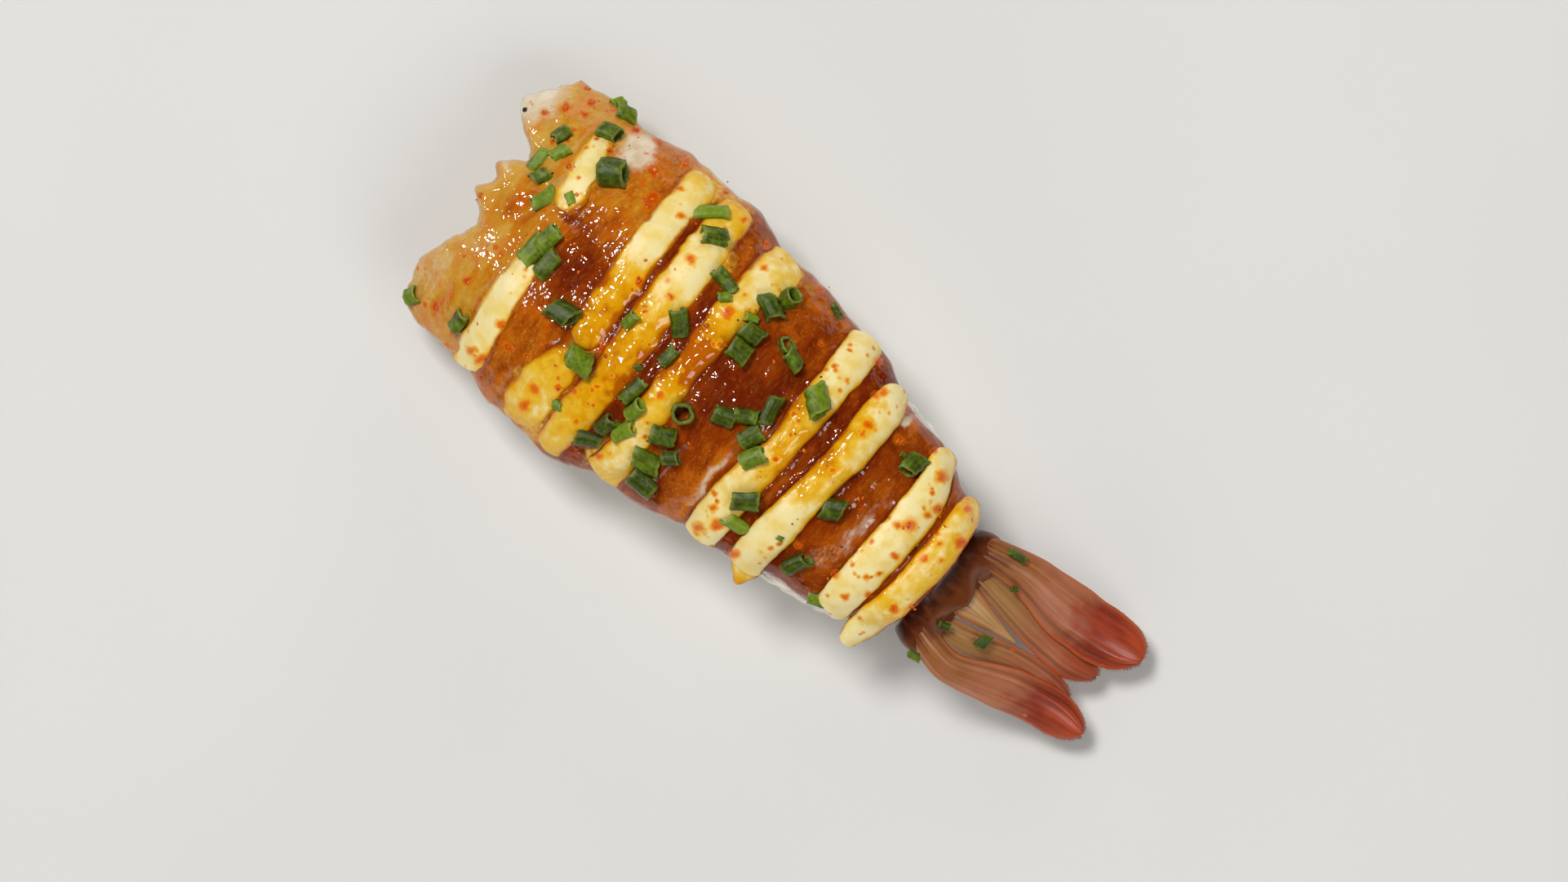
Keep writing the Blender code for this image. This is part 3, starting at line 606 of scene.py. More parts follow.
def meat_top(x, y):
    """Upper face of meat and glaze: glaze part fills the grooves, hides fibres and climbs
    a little up the foot of each stripe. Under a stripe the face is plain."""
    depth = glaze_depth(x, y)
    relief, fibres = meat_relief(x, y)
    fill = soft_step(0.25, 1.0, depth)
    height = relief * (1 - 0.45 * fill) + fibres * (1 - 0.8 * fill) + 0.2 * fill
    height = height + ripples(x, y) * (1 - 0.25 * fill) + 0.2 * stripe_nearness(x, y, 0.8)
    height = height + 0.3 * soft_step(0.3, 0.9, patches(CREAM_FILM, x, y))
    height = height * (1 - under_stripe(x, y))
    return underside(x, y) + meat_thickness(x, y) + height, depth


# %% [markdown]
# ## Where the chilli lies
# The larger flakes have places of their own, because the eye finds them, and each
# bleeds a soft orange stain into what it lies on. The stain is a number at the points of
# the meat and of the cream, like the glaze.

# %% Chilli places
# x, y, size in mm
CHILLI = [
    (18.1, 1.8, 1.7), (17.1, 0.8, 0.9), (17.5, 9.0, 1.4), (19.6, 5.6, 1.2), (19.3, 4.2, 0.8),
    (18.3, -6.3, 0.9), (19.2, -5.0, 0.6), (17.7, -9.7, 0.7), (19.7, -7.8, 0.8),
    (19.3, -2.0, 0.8), (15.9, -6.1, 0.5), (22.5, 8.0, 1.2), (24.3, 4.3, 1.5), (22.1, -0.2, 0.9),
    (24.8, -5.5, 1.3), (23.4, -7.0, 1.1), (21.4, 3.2, 0.7), (22.6, 2.4, 0.6), (23.8, 0.9, 0.6),
    (5.4, 12.4, 1.1), (4.9, 11.4, 0.9), (6.6, 8.0, 1.3), (6.8, 6.8, 0.9), (6.7, 0.9, 0.8),
    (3.9, -14.4, 1.2), (1.3, 10.4, 0.6), (-1.1, 3.2, 0.8), (0.3, -12.9, 1.3),
    (-1.3, -11.6, 0.9), (-1.1, -14.8, 1.3), (-2.6, -10.0, 0.6), (0.6, -2.4, 0.8),
    (-22.6, 9.8, 1.2), (-25.7, 3.7, 1.4), (-26.9, 13.0, 0.9), (-21.6, 4.6, 0.9),
    (-22.9, 1.2, 0.7), (-14.9, 7.7, 1.5), (-12.8, 9.0, 1.2), (-15.2, 14.8, 0.9),
    (-15.0, -5.0, 1.1), (-15.9, -15.9, 1.0), (-13.2, 3.9, 0.9), (-16.7, 17.0, 0.8),
    (-36.6, -16.0, 1.1), (-34.8, -16.0, 1.3), (-35.3, -11.0, 1.2), (-41.9, -9.7, 1.3),
    (-43.1, -14.6, 1.1), (-44.6, 17.0, 1.2), (-44.3, 15.2, 1.0), (-46.6, 14.4, 1.2),
    (-38.2, 17.8, 1.1), (-33.2, 15.4, 1.8), (-31.0, 12.4, 1.7), (-30.9, 11.2, 1.2),
    (-30.8, 18.4, 1.2), (-41.4, 9.0, 1.3), (-39.0, 13.6, 1.0), (-45.0, 10.0, 0.9),
    (-48.2, 12.4, 0.9), (-47.6, -0.6, 1.1), (-46.2, 18.0, 0.9), (-35.2, 18.6, 1.0),
    (-29.3, 15.6, 0.9), (-24.8, 19.0, 1.1), (-20.9, 17.6, 0.9), (-24.2, -5.4, 1.3),
    (-27.4, -14.6, 1.6), (-27.0, -16.9, 1.3), (-25.2, -12.6, 1.0), (-23.6, -11.6, 0.9),
    (-21.4, -9.4, 0.8), (-20.8, -14.2, 0.8), (-30.4, -12.0, 0.9), (-33.0, -12.6, 1.1),
    (10.6, 8.8, 1.3), (9.4, -8.6, 0.9), (8.8, 12.4, 0.7), (14.6, 10.6, 0.8), (15.0, -8.4, 0.9),
    (-8.5, 17.0, 0.9), (-4.0, 12.0, 0.7), (2.6, 14.6, 1.1),
]


def chilli_stain(x, y):
    """1 on a chilli flake, falling to 0 about half its size away. The distance is taken
    from a place that a fine relief has moved, so the stain isn't quite round."""
    bent_x = x + 0.2 * wobble(x, y, 0.6, 8) + 0.25 * wobble(x, y, 1.3, 9)
    bent_y = y + 0.2 * wobble(x, y, 0.6, 10) + 0.25 * wobble(x, y, 1.3, 19)
    stain = np.zeros(np.broadcast(x, y).shape)
    for flake_x, flake_y, size in CHILLI:
        far = np.hypot(bent_x - flake_x, bent_y - flake_y) / (0.55 * size)
        stain = np.maximum(stain, np.exp(-far ** 2))
    return stain


# %% [markdown]
# ## The meat as a surface of two parameters
# s runs from the head end to the tail and v from side to side. Two sheets, one above and
# one below, share their rim, so the meat is closed, and both draw together towards the
# rim along a quarter circle, which gives it the soft lip of cooked flesh. The head end
# is torn: a pointed flap, a frayed middle and a round flap, with a fine fray on top.

# %% Shrimp meat
MEAT_ROWS, MEAT_COLUMNS = 300, 150
# width of the rounded rim, in mm
LIP = 1.5


def front_edge(y):
    """x of the torn head end: a smooth curve through its stations, with a fine fray."""
    fray = 0.28 * wobble(y, 0 * y, 0.9, 21) + 0.14 * wobble(y, 0 * y, 0.4, 22)
    return through(FRONT_EDGE, y) + fray


def meat_plan(rows, columns):
    """Plan of the meat: x and y on the grid, and the distance to the rim, in mm."""
    s, v = np.meshgrid(np.linspace(0, 1, rows), np.linspace(-1, 1, columns), indexing="ij")
    s = 0.7 * s + 0.3 * (0.5 - 0.5 * np.cos(math.pi * s))
    v = 0.7 * v + 0.3 * np.sin(v * math.pi / 2)
    middle, half = middle_and_half(FRONT_X)
    start = front_edge(middle + half * v)
    end = REAR_X - REAR_ROUNDING * np.abs(v) ** 3
    x = start + (end - start) * s
    middle, half = middle_and_half(x)
    edge = half + 0.18 * wobble(x, np.sign(v) * 9, 1.6, 23)
    rim = np.minimum((1 - np.abs(v)) * half, np.minimum(s, 1 - s) * (end - start))
    return x, middle + edge * v, rim


plan_x, plan_y, rim = meat_plan(MEAT_ROWS, MEAT_COLUMNS)
top, depth = meat_top(plan_x, plan_y)
low = underside(plan_x, plan_y) + 0.12 * wobble(plan_x, plan_y, 2.5, 24)
lip = quarter_circle(rim / LIP)
middle = low + (top - low) * 0.42
upper = np.stack([plan_x, plan_y, middle + (top - middle) * lip], -1)
lower = np.stack([plan_x, plan_y, middle + (low - middle) * lip], -1)
count = MEAT_ROWS * MEAT_COLUMNS
number = np.arange(count).reshape(MEAT_ROWS, MEAT_COLUMNS)
twin = number + count
for edge_slice in (np.s_[0, :], np.s_[-1, :], np.s_[:, 0], np.s_[:, -1]):
    twin[edge_slice] = number[edge_slice]
top_faces = sheet_faces(MEAT_ROWS, MEAT_COLUMNS)
low_faces = twin.reshape(-1)[top_faces][:, ::-1]
meat = make_piece("shrimp_meat", np.concatenate([upper, lower]), top_faces, low_faces,
                  glaze=np.concatenate([depth, 0 * depth]),
                  rim=np.concatenate([np.clip(rim / 6, 0, 1)] * 2),
                  pale=np.concatenate([patches(PALE_FLESH, plan_x, plan_y), 0 * depth]),
                  film=np.concatenate([patches(CREAM_FILM, plan_x, plan_y), 0 * depth]),
                  stain=np.concatenate([chilli_stain(plan_x, plan_y), 0 * depth]))

# %% [markdown]
# ## The finish of glazed meat
# The colour follows the depth of the glaze: bare flesh is golden, and it goes through
# orange and brown to maroon where the glaze is deep. Everything is drawn out across the
# shrimp, as its fibres are. The surface is wet, so it is smooth and its fine bump breaks
# the light into many small glints. The cream uses the same glaze colours at its foot.

# %% Glazed meat finish
BARE_FLESH = (204, 158, 66)
# depth where the colour begins, depth where it is full, colour
GLAZE_TONES = [(0.02, 0.3, (194, 130, 30)), (0.26, 0.56, (178, 88, 12)),
               (0.52, 0.82, (136, 52, 6)), (0.8, 1.06, (108, 32, 8))]


def glaze_tone(r, shade):
    """Flesh under glaze: a chain of mixes from bare gold to deep maroon."""
    return r.tones(shade, srgb(*BARE_FLESH), GLAZE_TONES)


def glazed_meat():
    """Flesh and glaze by depth, then pale flesh, cream, dots and soaked chilli."""
    r = Recipe("glazed_meat")
    depth, rim_share, pale = r.mark("glaze"), r.mark("rim"), r.mark("pale")
    film, stain = r.mark("film"), r.mark("stain")
    lumps, fine = r.noise(1.6, 3, (1, 2.6, 1), 0.6), r.noise(0.7, 3)
    fibres = r.noise(0.3, 2, (1, 6, 1), 0.6)
    shade = depth + (lumps - 0.5) * 0.8 + (fine - 0.5) * 0.2 + (fibres - 0.5) * 0.14
    colour = glaze_tone(r, shade)
    bare = 1 - depth.above(0.3, 0.95)
    colour = r.mix(fibres.above(0.48, 0.7) * (bare * 0.35 + 0.08), colour, srgb(230, 166, 50))
    warm = r.noise(2.4, 3, (1, 1.8, 1)).above(0.46, 0.62) * (1 - pale) * bare
    colour = r.mix(warm * 0.5, colour, srgb(206, 96, 6))
    colour = r.mix((1 - rim_share) * bare * 0.2, colour, srgb(212, 164, 84))
    white = (pale + (fine - 0.5) * 0.4 + (fibres - 0.5) * 0.3).above(0.08, 0.65)
    colour = r.mix(white * 0.94, colour, r.mix(lumps.above(0.3, 0.7), srgb(228, 216, 194),
                                               srgb(212, 190, 156)))
    cream = r.mix(fine.above(0.3, 0.65), srgb(232, 190, 76), srgb(212, 142, 16))
    colour = r.mix((film + (lumps - 0.5) * 1.4).above(0.25, 0.75) * 0.85, colour, cream)
    dots = ((1 - r.cells(1.5)) + (fine - 0.5) * 0.4) * r.noise(3.4, 1).above(0.45, 0.6)
    colour = r.mix(dots.above(0.62, 0.85) * (bare * 0.6 + 0.2), colour, srgb(208, 84, 2))
    soaked = stain + (fine - 0.5) * 0.5
    colour = r.mix(soaked.above(0.12, 0.5) * 0.5, colour, srgb(214, 116, 10))
    colour = r.mix(soaked.above(0.45, 0.85) * 0.85, colour, srgb(196, 62, 2))
    bumps = r.bump(r.noise(1.2, 0), 0.15, r.bump(r.noise(0.55, 0), 0.05))
    return r.finish(Base_Color=colour, Roughness=fine * 0.08 + 0.03,
                    Specular_IOR_Level=0.5, Normal=bumps, Subsurface_Weight=0.05,
                    Subsurface_Scale=0.001, Subsurface_Radius=(1.0, 0.4, 0.1))


dress(meat, glazed_meat(), "shrimp_meat", "shrimp")

# %% [markdown]
# ## Piped stripes
# A stripe is a profile carried along a path. The path lies on the meat, the profile is a
# half round that is sunk a little into the meat, and both breathe: the width and the
# height swell where the hand slowed. Near an end, height and width follow a circle.

# %% Cream stripes
STRIPE_RINGS, STRIPE_SIDES, PATH_SAMPLES = 150, 36, 240
# how deep a stripe is sunk into the meat, in mm
STRIPE_ROOT = 1.1


def plain_top(x, y):
    """Upper face of the meat without relief, for what lies on it. An S-curve takes it
    down towards the rim, as the meat's lip goes."""
    middle, half = middle_and_half(x)
    lip = soft_step(0, 1, 1 - (half - np.abs(y - middle)) / (2 * LIP))
    return underside(x, y) + meat_thickness(x, y) * (1 - 0.45 * lip) - 0.1


def stroke_path(points):
    """Centre line, width and amber of a stroke along the table's curve, in sections that
    are closer together near both ends, and the length run up to each."""
    order = np.linspace(0, len(points) - 1, PATH_SAMPLES)
    x, y, width, amber = (through(list(enumerate(column)), order)
                          for column in zip(*points))
    path = np.stack([x, y, plain_top(x, y), width, amber], -1)
    run = np.concatenate([[0], np.cumsum(np.linalg.norm(np.diff(path[:, :3], axis=0), axis=1))])
    sections = run[-1] * (0.5 - 0.5 * np.cos(np.linspace(0, math.pi, STRIPE_RINGS)))
    sections = 0.4 * sections + 0.6 * np.linspace(0, run[-1], STRIPE_RINGS)
    return sections, np.stack([np.interp(sections, run, column) for column in path.T], -1)


def stripe_surface(height, slump, first_end, last_end, points, seed):
    """Sections along the stroke: centre + side * half * cos + up * rise * sin ** power.
    A high power gives the gentle flanks of a stroke that has slumped."""
    run, path = stroke_path(points)
    centre, width, amber = path[:, :3], path[:, 3], path[:, 4]
    to_end = np.clip(np.minimum(run / first_end, (run[-1] - run) / last_end), 0, 1)
    round_end = quarter_circle(to_end)
    half = width / 2 * (1 + 0.05 * wobble(run, 0 * run, 2.6, seed)) * (0.5 + 0.5 * round_end)
    rise = height * (0.12 + 0.88 * round_end) * (1 + 0.08 * wobble(run, 0 * run, 3.3, seed + 2))
    ahead = unit(np.gradient(centre, run, axis=0))
    side = unit(np.stack([-ahead[:, 1], ahead[:, 0], 0 * half], -1))
    up = np.cross(ahead, side)[:, None, :]
    angle = circle(STRIPE_SIDES)
    crest = np.broadcast_to(np.sin(angle), (STRIPE_RINGS, STRIPE_SIDES))
    across = half[:, None] * np.cos(angle)
    foot = centre[:, None, :] + side[:, None, :] * across[..., None]
    ragged = wobble(foot[..., 0], foot[..., 1], 2.0, seed + 1)
    ragged = ragged + 0.4 * wobble(foot[..., 0], foot[..., 1], 0.8, seed + 5)
    edge = (0.14 + 0.36 * slump) * ragged * np.cos(angle)
    foot = foot + side[:, None, :] * edge[..., None]
    foot[..., 2] += plain_top(foot[..., 0], foot[..., 1]) - plain_top(*centre[:, :2].T)[:, None]
    power = 0.9 + 1.3 * slump
    lift = np.where(crest > 0, rise[:, None] * np.abs(crest) ** power, STRIPE_ROOT * crest)
    wet = np.clip(amber, 0, 1)[:, None]
    skin = (0.03 + 0.05 * wet) * wobble(foot[..., 0], foot[..., 1], 1.6, seed + 3)
    skin = skin + (0.015 + 0.03 * wet) * wobble(foot[..., 0], foot[..., 1] * 0.35, 0.7, seed + 4)
    points = foot + up * (lift + skin * (crest > 0) * to_end[:, None])[..., None]
    inward = half[:, None] * (1 - np.abs(np.cos(angle))) * (crest > 0)
    body = soft_step(0.0, 0.3 + 1.0 * slump, inward) * (0.3 + 0.7 * round_end[:, None])
    flank = 1 - soft_step(0.05, 0.7 + 0.6 * slump, inward)
    return points, np.broadcast_to(amber[:, None], crest.shape), body, flank


surfaces, ambers, bodies, flanks = zip(*(stripe_surface(*row, 40 + 7 * i)
                                         for i, row in enumerate(STRIPES)))
places = [(surface[..., 0], surface[..., 1]) for surface in surfaces]
runs = [patches(GLAZE_RUNS, *at) for at in places]
stripes = closed_tubes("cream_stripes", surfaces,
                       amber=[amber + run for amber, run in zip(ambers, runs)],
                       body=bodies, flank=flanks,
                       glaze=[glaze_depth(*at) for at in places],
                       stain=[chilli_stain(*at) for at in places])

# %% [markdown]
# ## Cream that turns to amber
# The sauce is pale yellow cream. Where glaze has run over it, it turns through yellow to
# amber, and the stored amber number says where, with a noise that makes the change
# blotchy. The thin feet take the colours of the glaze they stand in, so a slumped stroke
# has no hard outline. Chilli oil leaves orange dots: points scattered by a cell texture,
# kept only where a second noise allows them. Cream is satin, amber is wet.

# %% Cream finish
# amber where a colour begins, where it is full, colour
AMBER_TONES = [(0.02, 0.42, (232, 186, 46)), (0.36, 0.8, (222, 156, 10)),
               (0.8, 1.4, (186, 94, 4))]


def cream_sauce():
    """Cream, its turn to amber, dots, soaked chilli, and glaze at its thin feet."""
    r = Recipe("cream_sauce")
    amber, body, stain = r.mark("amber"), r.mark("body"), r.mark("stain")
    blotch, fine, small = r.noise(2.2, 3), r.noise(0.6, 2), r.noise(0.9, 2, (1, 1.5, 1))
    turned = amber + r.mark("flank") * 0.6 - 0.03
    turned = turned + (blotch - 0.5) * (amber * 1.1 + 0.4) + (small - 0.5) * (amber + 0.2)
    cream = r.mix(blotch.above(0.35, 0.7), srgb(243, 226, 164), srgb(238, 210, 118))
    colour = r.tones(turned, cream, AMBER_TONES)
    dots = (1 - r.cells(1.4)) + (fine - 0.5) * 0.24
    dots = dots * r.noise(2.8, 1).above(0.42, 0.6)
    colour = r.mix(dots.above(0.58, 0.78) * 0.9, colour, srgb(230, 164, 34))
    colour = r.mix(dots.above(0.74, 0.88), colour, srgb(216, 104, 2))
    soaked = stain + (fine - 0.5) * 0.4
    colour = r.mix(soaked.above(0.04, 0.4) * 0.9, colour, srgb(236, 168, 22))
    colour = r.mix(soaked.above(0.36, 0.7), colour, srgb(224, 114, 4))
    colour = r.mix(soaked.above(0.74, 1.1), colour, srgb(204, 68, 2))
    foot = glaze_tone(r, r.mark("glaze") * 0.75 + 0.05)
    thin = 1 - (body + (blotch - 0.5) * 0.7 + (small - 0.5) * 0.5).above(0.1, 0.8)
    colour = r.mix(thin, colour, foot)
    wet = (turned + thin).above(0.1, 0.8)
    bumps = r.bump(r.noise(1.0, 0) * (wet * 0.8 + 0.2), 0.12)
    return r.finish(Base_Color=colour, Roughness=0.36 - wet * 0.29, Normal=bumps,
                    Specular_IOR_Level=0.45, Subsurface_Weight=0.08, Subsurface_Scale=0.0014,
                    Subsurface_Radius=(1.0, 0.6, 0.2))


dress(stripes, cream_sauce(), "creamy_sauce")

# %% [markdown]
# ## The tail fan
# Behind the meat comes the last ring of shell, and from it spread the pointed telson and
# four blades. A blade is a thin lens: two faces that share their edge, crowned across,
# with ribs running along it and a stronger rib off its middle.

# %% Tail measures
COLLAR_START, COLLAR_END, COLLAR_MIDDLE_Y = 24.9, 29.4, -1.1
COLLAR_HALF_WIDTH, COLLAR_NARROW = 9.0, 0.88
COLLAR_TOP, COLLAR_DEPTH, COLLAR_THINNING, COLLAR_DIP = 18.3, 8.4, 0.62, 3.2
FAN_HEIGHT = [(27, 15.2), (31, 13.6), (38, 10.2), (46, 6.4), (52, 4.4)]
TELSON_START, TELSON_TIP_X, TELSON_MIDDLE_Y, TELSON_HALF_WIDTH = 27.4, 37.8, -0.9, 2.5
# middle line, half width, tip x, drop below the fan's top, thickness, tilt across
BLADES = [
    ([(27, 5.4), (30, 6.0), (33, 6.4), (39, 6.2), (45, 6.5), (51, 7.4)],
     [(27, 1.9), (30, 2.2), (33, 2.6), (39, 3.6), (46, 3.75), (51, 3.1)], 51.3, 0.0, 1.5, 8),
    ([(27, 2.8), (33, 2.4), (39, 1.8), (44, 1.7), (49, 2.4)],
     [(27, 1.2), (33, 1.8), (39, 2.2), (49, 2.4)], 48.2, 1.1, 1.3, 14),
    ([(27, -7.2), (30, -8.0), (33, -8.4), (36, -7.5), (39, -6.4), (42, -5.5), (45, -4.8),
      (51, -4.4)],
     [(27, 1.6), (30, 1.9), (33, 2.0), (36, 2.4), (39, 2.8), (42, 2.9), (45, 2.85), (51, 2.5)],
     51.4, 0.0, 1.5, -8),
    ([(27, -5.2), (33, -4.6), (39, -2.8), (44, -2.3), (49, -2.8)],
     [(27, 1.3), (33, 2.0), (39, 1.9), (49, 1.9)], 47.8, 1.1, 1.3, -14),
]
BLADE_CROWN, BLADE_TIP_LENGTH = 0.7, 5.0
BLADE_ROWS, BLADE_SIDES = 90, 64
# the sections stop a little short of a tip, so that the last one has a size
NEAR_TIP = 0.985
# height or depth in mm, and width as a share of the half width
FINE_RIB, RIDGE, RIDGE_WIDTH, TROUGH, TROUGH_WIDTH = 0.03, 0.42, 0.13, 0.3, 0.09
# where the ridge runs, as a share of the half width, and the trough as a share of that
RIDGE_SIDE, TROUGH_SIDE = 0.45, 1.4

# %% [markdown]
# A blade's section is an ellipse walked round once. Fine ribs are a cosine across it, and
# the ridge and the trough beside it are bells. All fade out at the edge, so that the two
# faces still meet in a thin rim.

# %% Tail blades
def blade_surface(path, widths, tip_x, drop, thickness, tilt, seed):
    """Sections along the path: middle + across * cos + thickness * sin, crowned, tilted."""
    t = np.sin(math.pi / 2 * np.linspace(0, 1, BLADE_ROWS) * NEAR_TIP)[:, None]
    lean_side = -1 if tilt > 0 else 1
    x = path[0][0] + (tip_x - path[0][0]) * t
    past = np.clip(1 - (tip_x - x) / BLADE_TIP_LENGTH, 0, 1)
    half = through(widths, x) * np.sqrt(np.maximum(1 - past ** 2.4, 0.0016))
    half = half * (1 + 0.03 * wobble(x, 0 * x, 2.2, seed))
    angle = circle(BLADE_SIDES)
    share = np.cos(angle)
    thick = thickness * (1 - 0.5 * t)
    lens = squared_off(np.sin(angle), 1.25)
    off_ridge = (share - RIDGE_SIDE * lean_side) / RIDGE_WIDTH
    off_trough = (share - RIDGE_SIDE * lean_side * TROUGH_SIDE) / TROUGH_WIDTH
    ribs = FINE_RIB * np.cos(share * 26) + RIDGE * np.exp(-off_ridge ** 2)
    ribs = ribs - TROUGH * np.exp(-off_trough ** 2)
    ribs = ribs * (1 - share ** 2) * (1 - 0.5 * t) * (np.sin(angle) > 0)
    across = half * share
    bend = BLADE_CROWN * (0.3 - share ** 2) * half / widths[-1][1]
    lean = -across * math.tan(math.radians(tilt))
    z = through(FAN_HEIGHT, x) - drop + thick / 2 * lens + bend + lean + ribs
    y = through(path, x) + across
    z = z + 0.10 * wobble(x, y, 3.0, seed + 1)
    points = np.stack([np.broadcast_to(x, z.shape), y, z], -1)
    return points, np.broadcast_to(share * -lean_side, z.shape), np.broadcast_to(t, z.shape)


blade_parts = [blade_surface(*row, 101 + 5 * i) for i, row in enumerate(BLADES)]
blades = closed_tubes("tail_blades", [p[0] for p in blade_parts],
                      across=[p[1] for p in blade_parts], along=[p[2] for p in blade_parts],
                      inner=[np.full(p[0].shape[:2], i % 2) for i, p in enumerate(blade_parts)])

# %% [markdown]
# The collar is a flattened barrel whose front end is hidden in the meat and whose rear
# edge thins out on the blades. The telson is a wedge with a shallow groove down its back.

# %% Collar and telson
def collar_surface(rings=48, sides=84):
    """Barrel sections along x: y by a superellipse, z about a middle that dips, and a
    rear edge that waves. Also how far back each section lies, from 0 to 1."""
    t = np.linspace(0, 1, rings)[:, None]
    x = COLLAR_START + (COLLAR_END - COLLAR_START) * t
    swell = COLLAR_NARROW + (1 - COLLAR_NARROW) * np.sin(math.pi / 2 * np.minimum(1, 1.4 * t))
    ends = quarter_circle(np.minimum(t, 1 - t) / 0.15)
    half = COLLAR_HALF_WIDTH * swell * (0.95 + 0.05 * ends) - 0.8 * t ** 3
    depth = COLLAR_DEPTH * (1 - COLLAR_THINNING * t ** 1.5)
    middle_z = COLLAR_TOP - COLLAR_DIP * t ** 1.3 - depth / 2
    angle = circle(sides)
    share = squared_off(np.cos(angle), 0.8)
    y = COLLAR_MIDDLE_Y + half * share
    x = x + (0.5 * np.cos(share * 2.2 * math.pi) + 0.5 * wobble(y, 0 * y, 1.7, 133)) * t ** 3
    z = middle_z + depth * (0.85 + 0.15 * ends) / 2 * np.sin(angle)
    z = z + 0.14 * wobble(x, y, 2.4, 131)
    z = z + 0.06 * wobble(x, y, 1.0, 132)
    return np.stack([x, y, z], -1), t


def telson_surface(rings=40, sides=32):
    """Wedge sections that narrow to the tip, with a groove where the angle points up.
    Also the place across and the place along of each section, as shares."""
    t = np.linspace(0, NEAR_TIP, rings)[:, None]
    x = TELSON_START + (TELSON_TIP_X - TELSON_START) * t
    half = TELSON_HALF_WIDTH * (1 - 0.95 * t ** 1.1)
    angle = circle(sides)
    thick = 1.1 * (1 - 0.6 * t)
    groove = 0.3 * np.exp(-(np.cos(angle) / 0.35) ** 2) * (np.sin(angle) > 0) * (1 - t)
    y = TELSON_MIDDLE_Y + half * np.cos(angle)
    z = through(FAN_HEIGHT, x) - 0.6 + thick * np.sin(angle) - groove
    return np.stack([np.broadcast_to(x, y.shape), y, z], -1), np.cos(angle), t


def full(values, like):
    """The values spread over every point of the grid `like`."""
    return np.broadcast_to(values, like.shape[:2])


collar_points, collar_along = collar_surface()
collar = closed_tubes("tail_collar", [collar_points],
                      along=[full(collar_along, collar_points)])
telson_points, telson_across, telson_along = telson_surface()
telson = closed_tubes("telson", [telson_points],
                      across=[full(telson_across, telson_points)],
                      along=[full(telson_along, telson_points)])

# %% [markdown]
# The blades end in a fringe of short stiff hairs. Each is a thin cone on three sides that
# starts a little inside the edge near the tip and points outward and back.

# %% Tail fringe
HAIR_SIDES, HAIRS_PER_EDGE, HAIR_WIDTH = 3, 80, 0.1


def fringe(seed):
    """Cones at both edges of each blade: base on the edge, axis outward and along x."""
    rng = np.random.default_rng(seed)
    bases, axes = [], []
    for points, *_ in blade_parts:
        for side in (0, BLADE_SIDES // 2):
            row = rng.integers(int(BLADE_ROWS * 0.56), BLADE_ROWS - 2, HAIRS_PER_EDGE)
            base = points[row, side]
            middle = points[row].mean(1)
            outward = unit(base - middle)
            back = np.array([1.0, 0.0, -0.15]) * rng.uniform(0.6, 2.4, (HAIRS_PER_EDGE, 1))
            axis = unit(outward + back)
            bases.append(base - 0.15 * outward)
            axes.append(axis * rng.uniform(0.2, 0.5, (HAIRS_PER_EDGE, 1)))
    base, axis = np.concatenate(bases), np.concatenate(axes)
    side = unit(np.cross(unit(axis), [0.0, 0.0, 1.0]))
    angle = circle(HAIR_SIDES)
    ring = HAIR_WIDTH / 2 * np.stack([0 * angle, np.cos(angle), np.sin(angle)], -1)
    shape = np.concatenate([ring, [(1.0, 0, 0)]])
    faces = np.concatenate([fan_faces(HAIR_SIDES, 0, HAIR_SIDES), [[2, 1, 0]]])
    return copies(shape, faces, np.stack([axis, side, np.cross(unit(axis), side)], 1), base)


hair_fringe = make_piece("tail_fringe", *fringe(141))

# %% [markdown]
# ## Shell finish
# Along a blade the colour goes from brown at the root through tan and pink to red at the
# tip. Streaks run the same way, the rim is orange, the trough beside each ridge carries a
# line of painted shade, and thin shell is satin. The collar is the darkest, its brown
# deepened at the front by painted shade where it meets the meat, and the telson is pale
# with orange edges.

# %% Tail finish
ROOT_BROWN = (98, 44, 14)
# place along the blade where a colour begins, where it is full, colour
OUTER_TONES = [(0.02, 0.16, (150, 92, 48)), (0.2, 0.45, (172, 106, 76)),
               (0.5, 0.72, (136, 50, 32)), (0.76, 0.96, (164, 66, 36))]
INNER_TONES = [(0.02, 0.2, (164, 120, 70)), (0.3, 0.66, (166, 100, 70)),
               (0.66, 0.92, (152, 70, 42))]


def shell_surface(r, colour, streak):
    """What all shell has in common: satin gloss, a relief of its streaks and lumps."""
    bumps = r.bump(streak, 0.035, r.bump(r.noise(1.8, 0, (3, 1, 3)), 0.12))
    return r.finish(Base_Color=colour, Roughness=0.27, Normal=bumps,
                    Specular_IOR_Level=0.45, Subsurface_Weight=0.05, Subsurface_Scale=0.001,
                    Subsurface_Radius=(1.0, 0.4, 0.25))


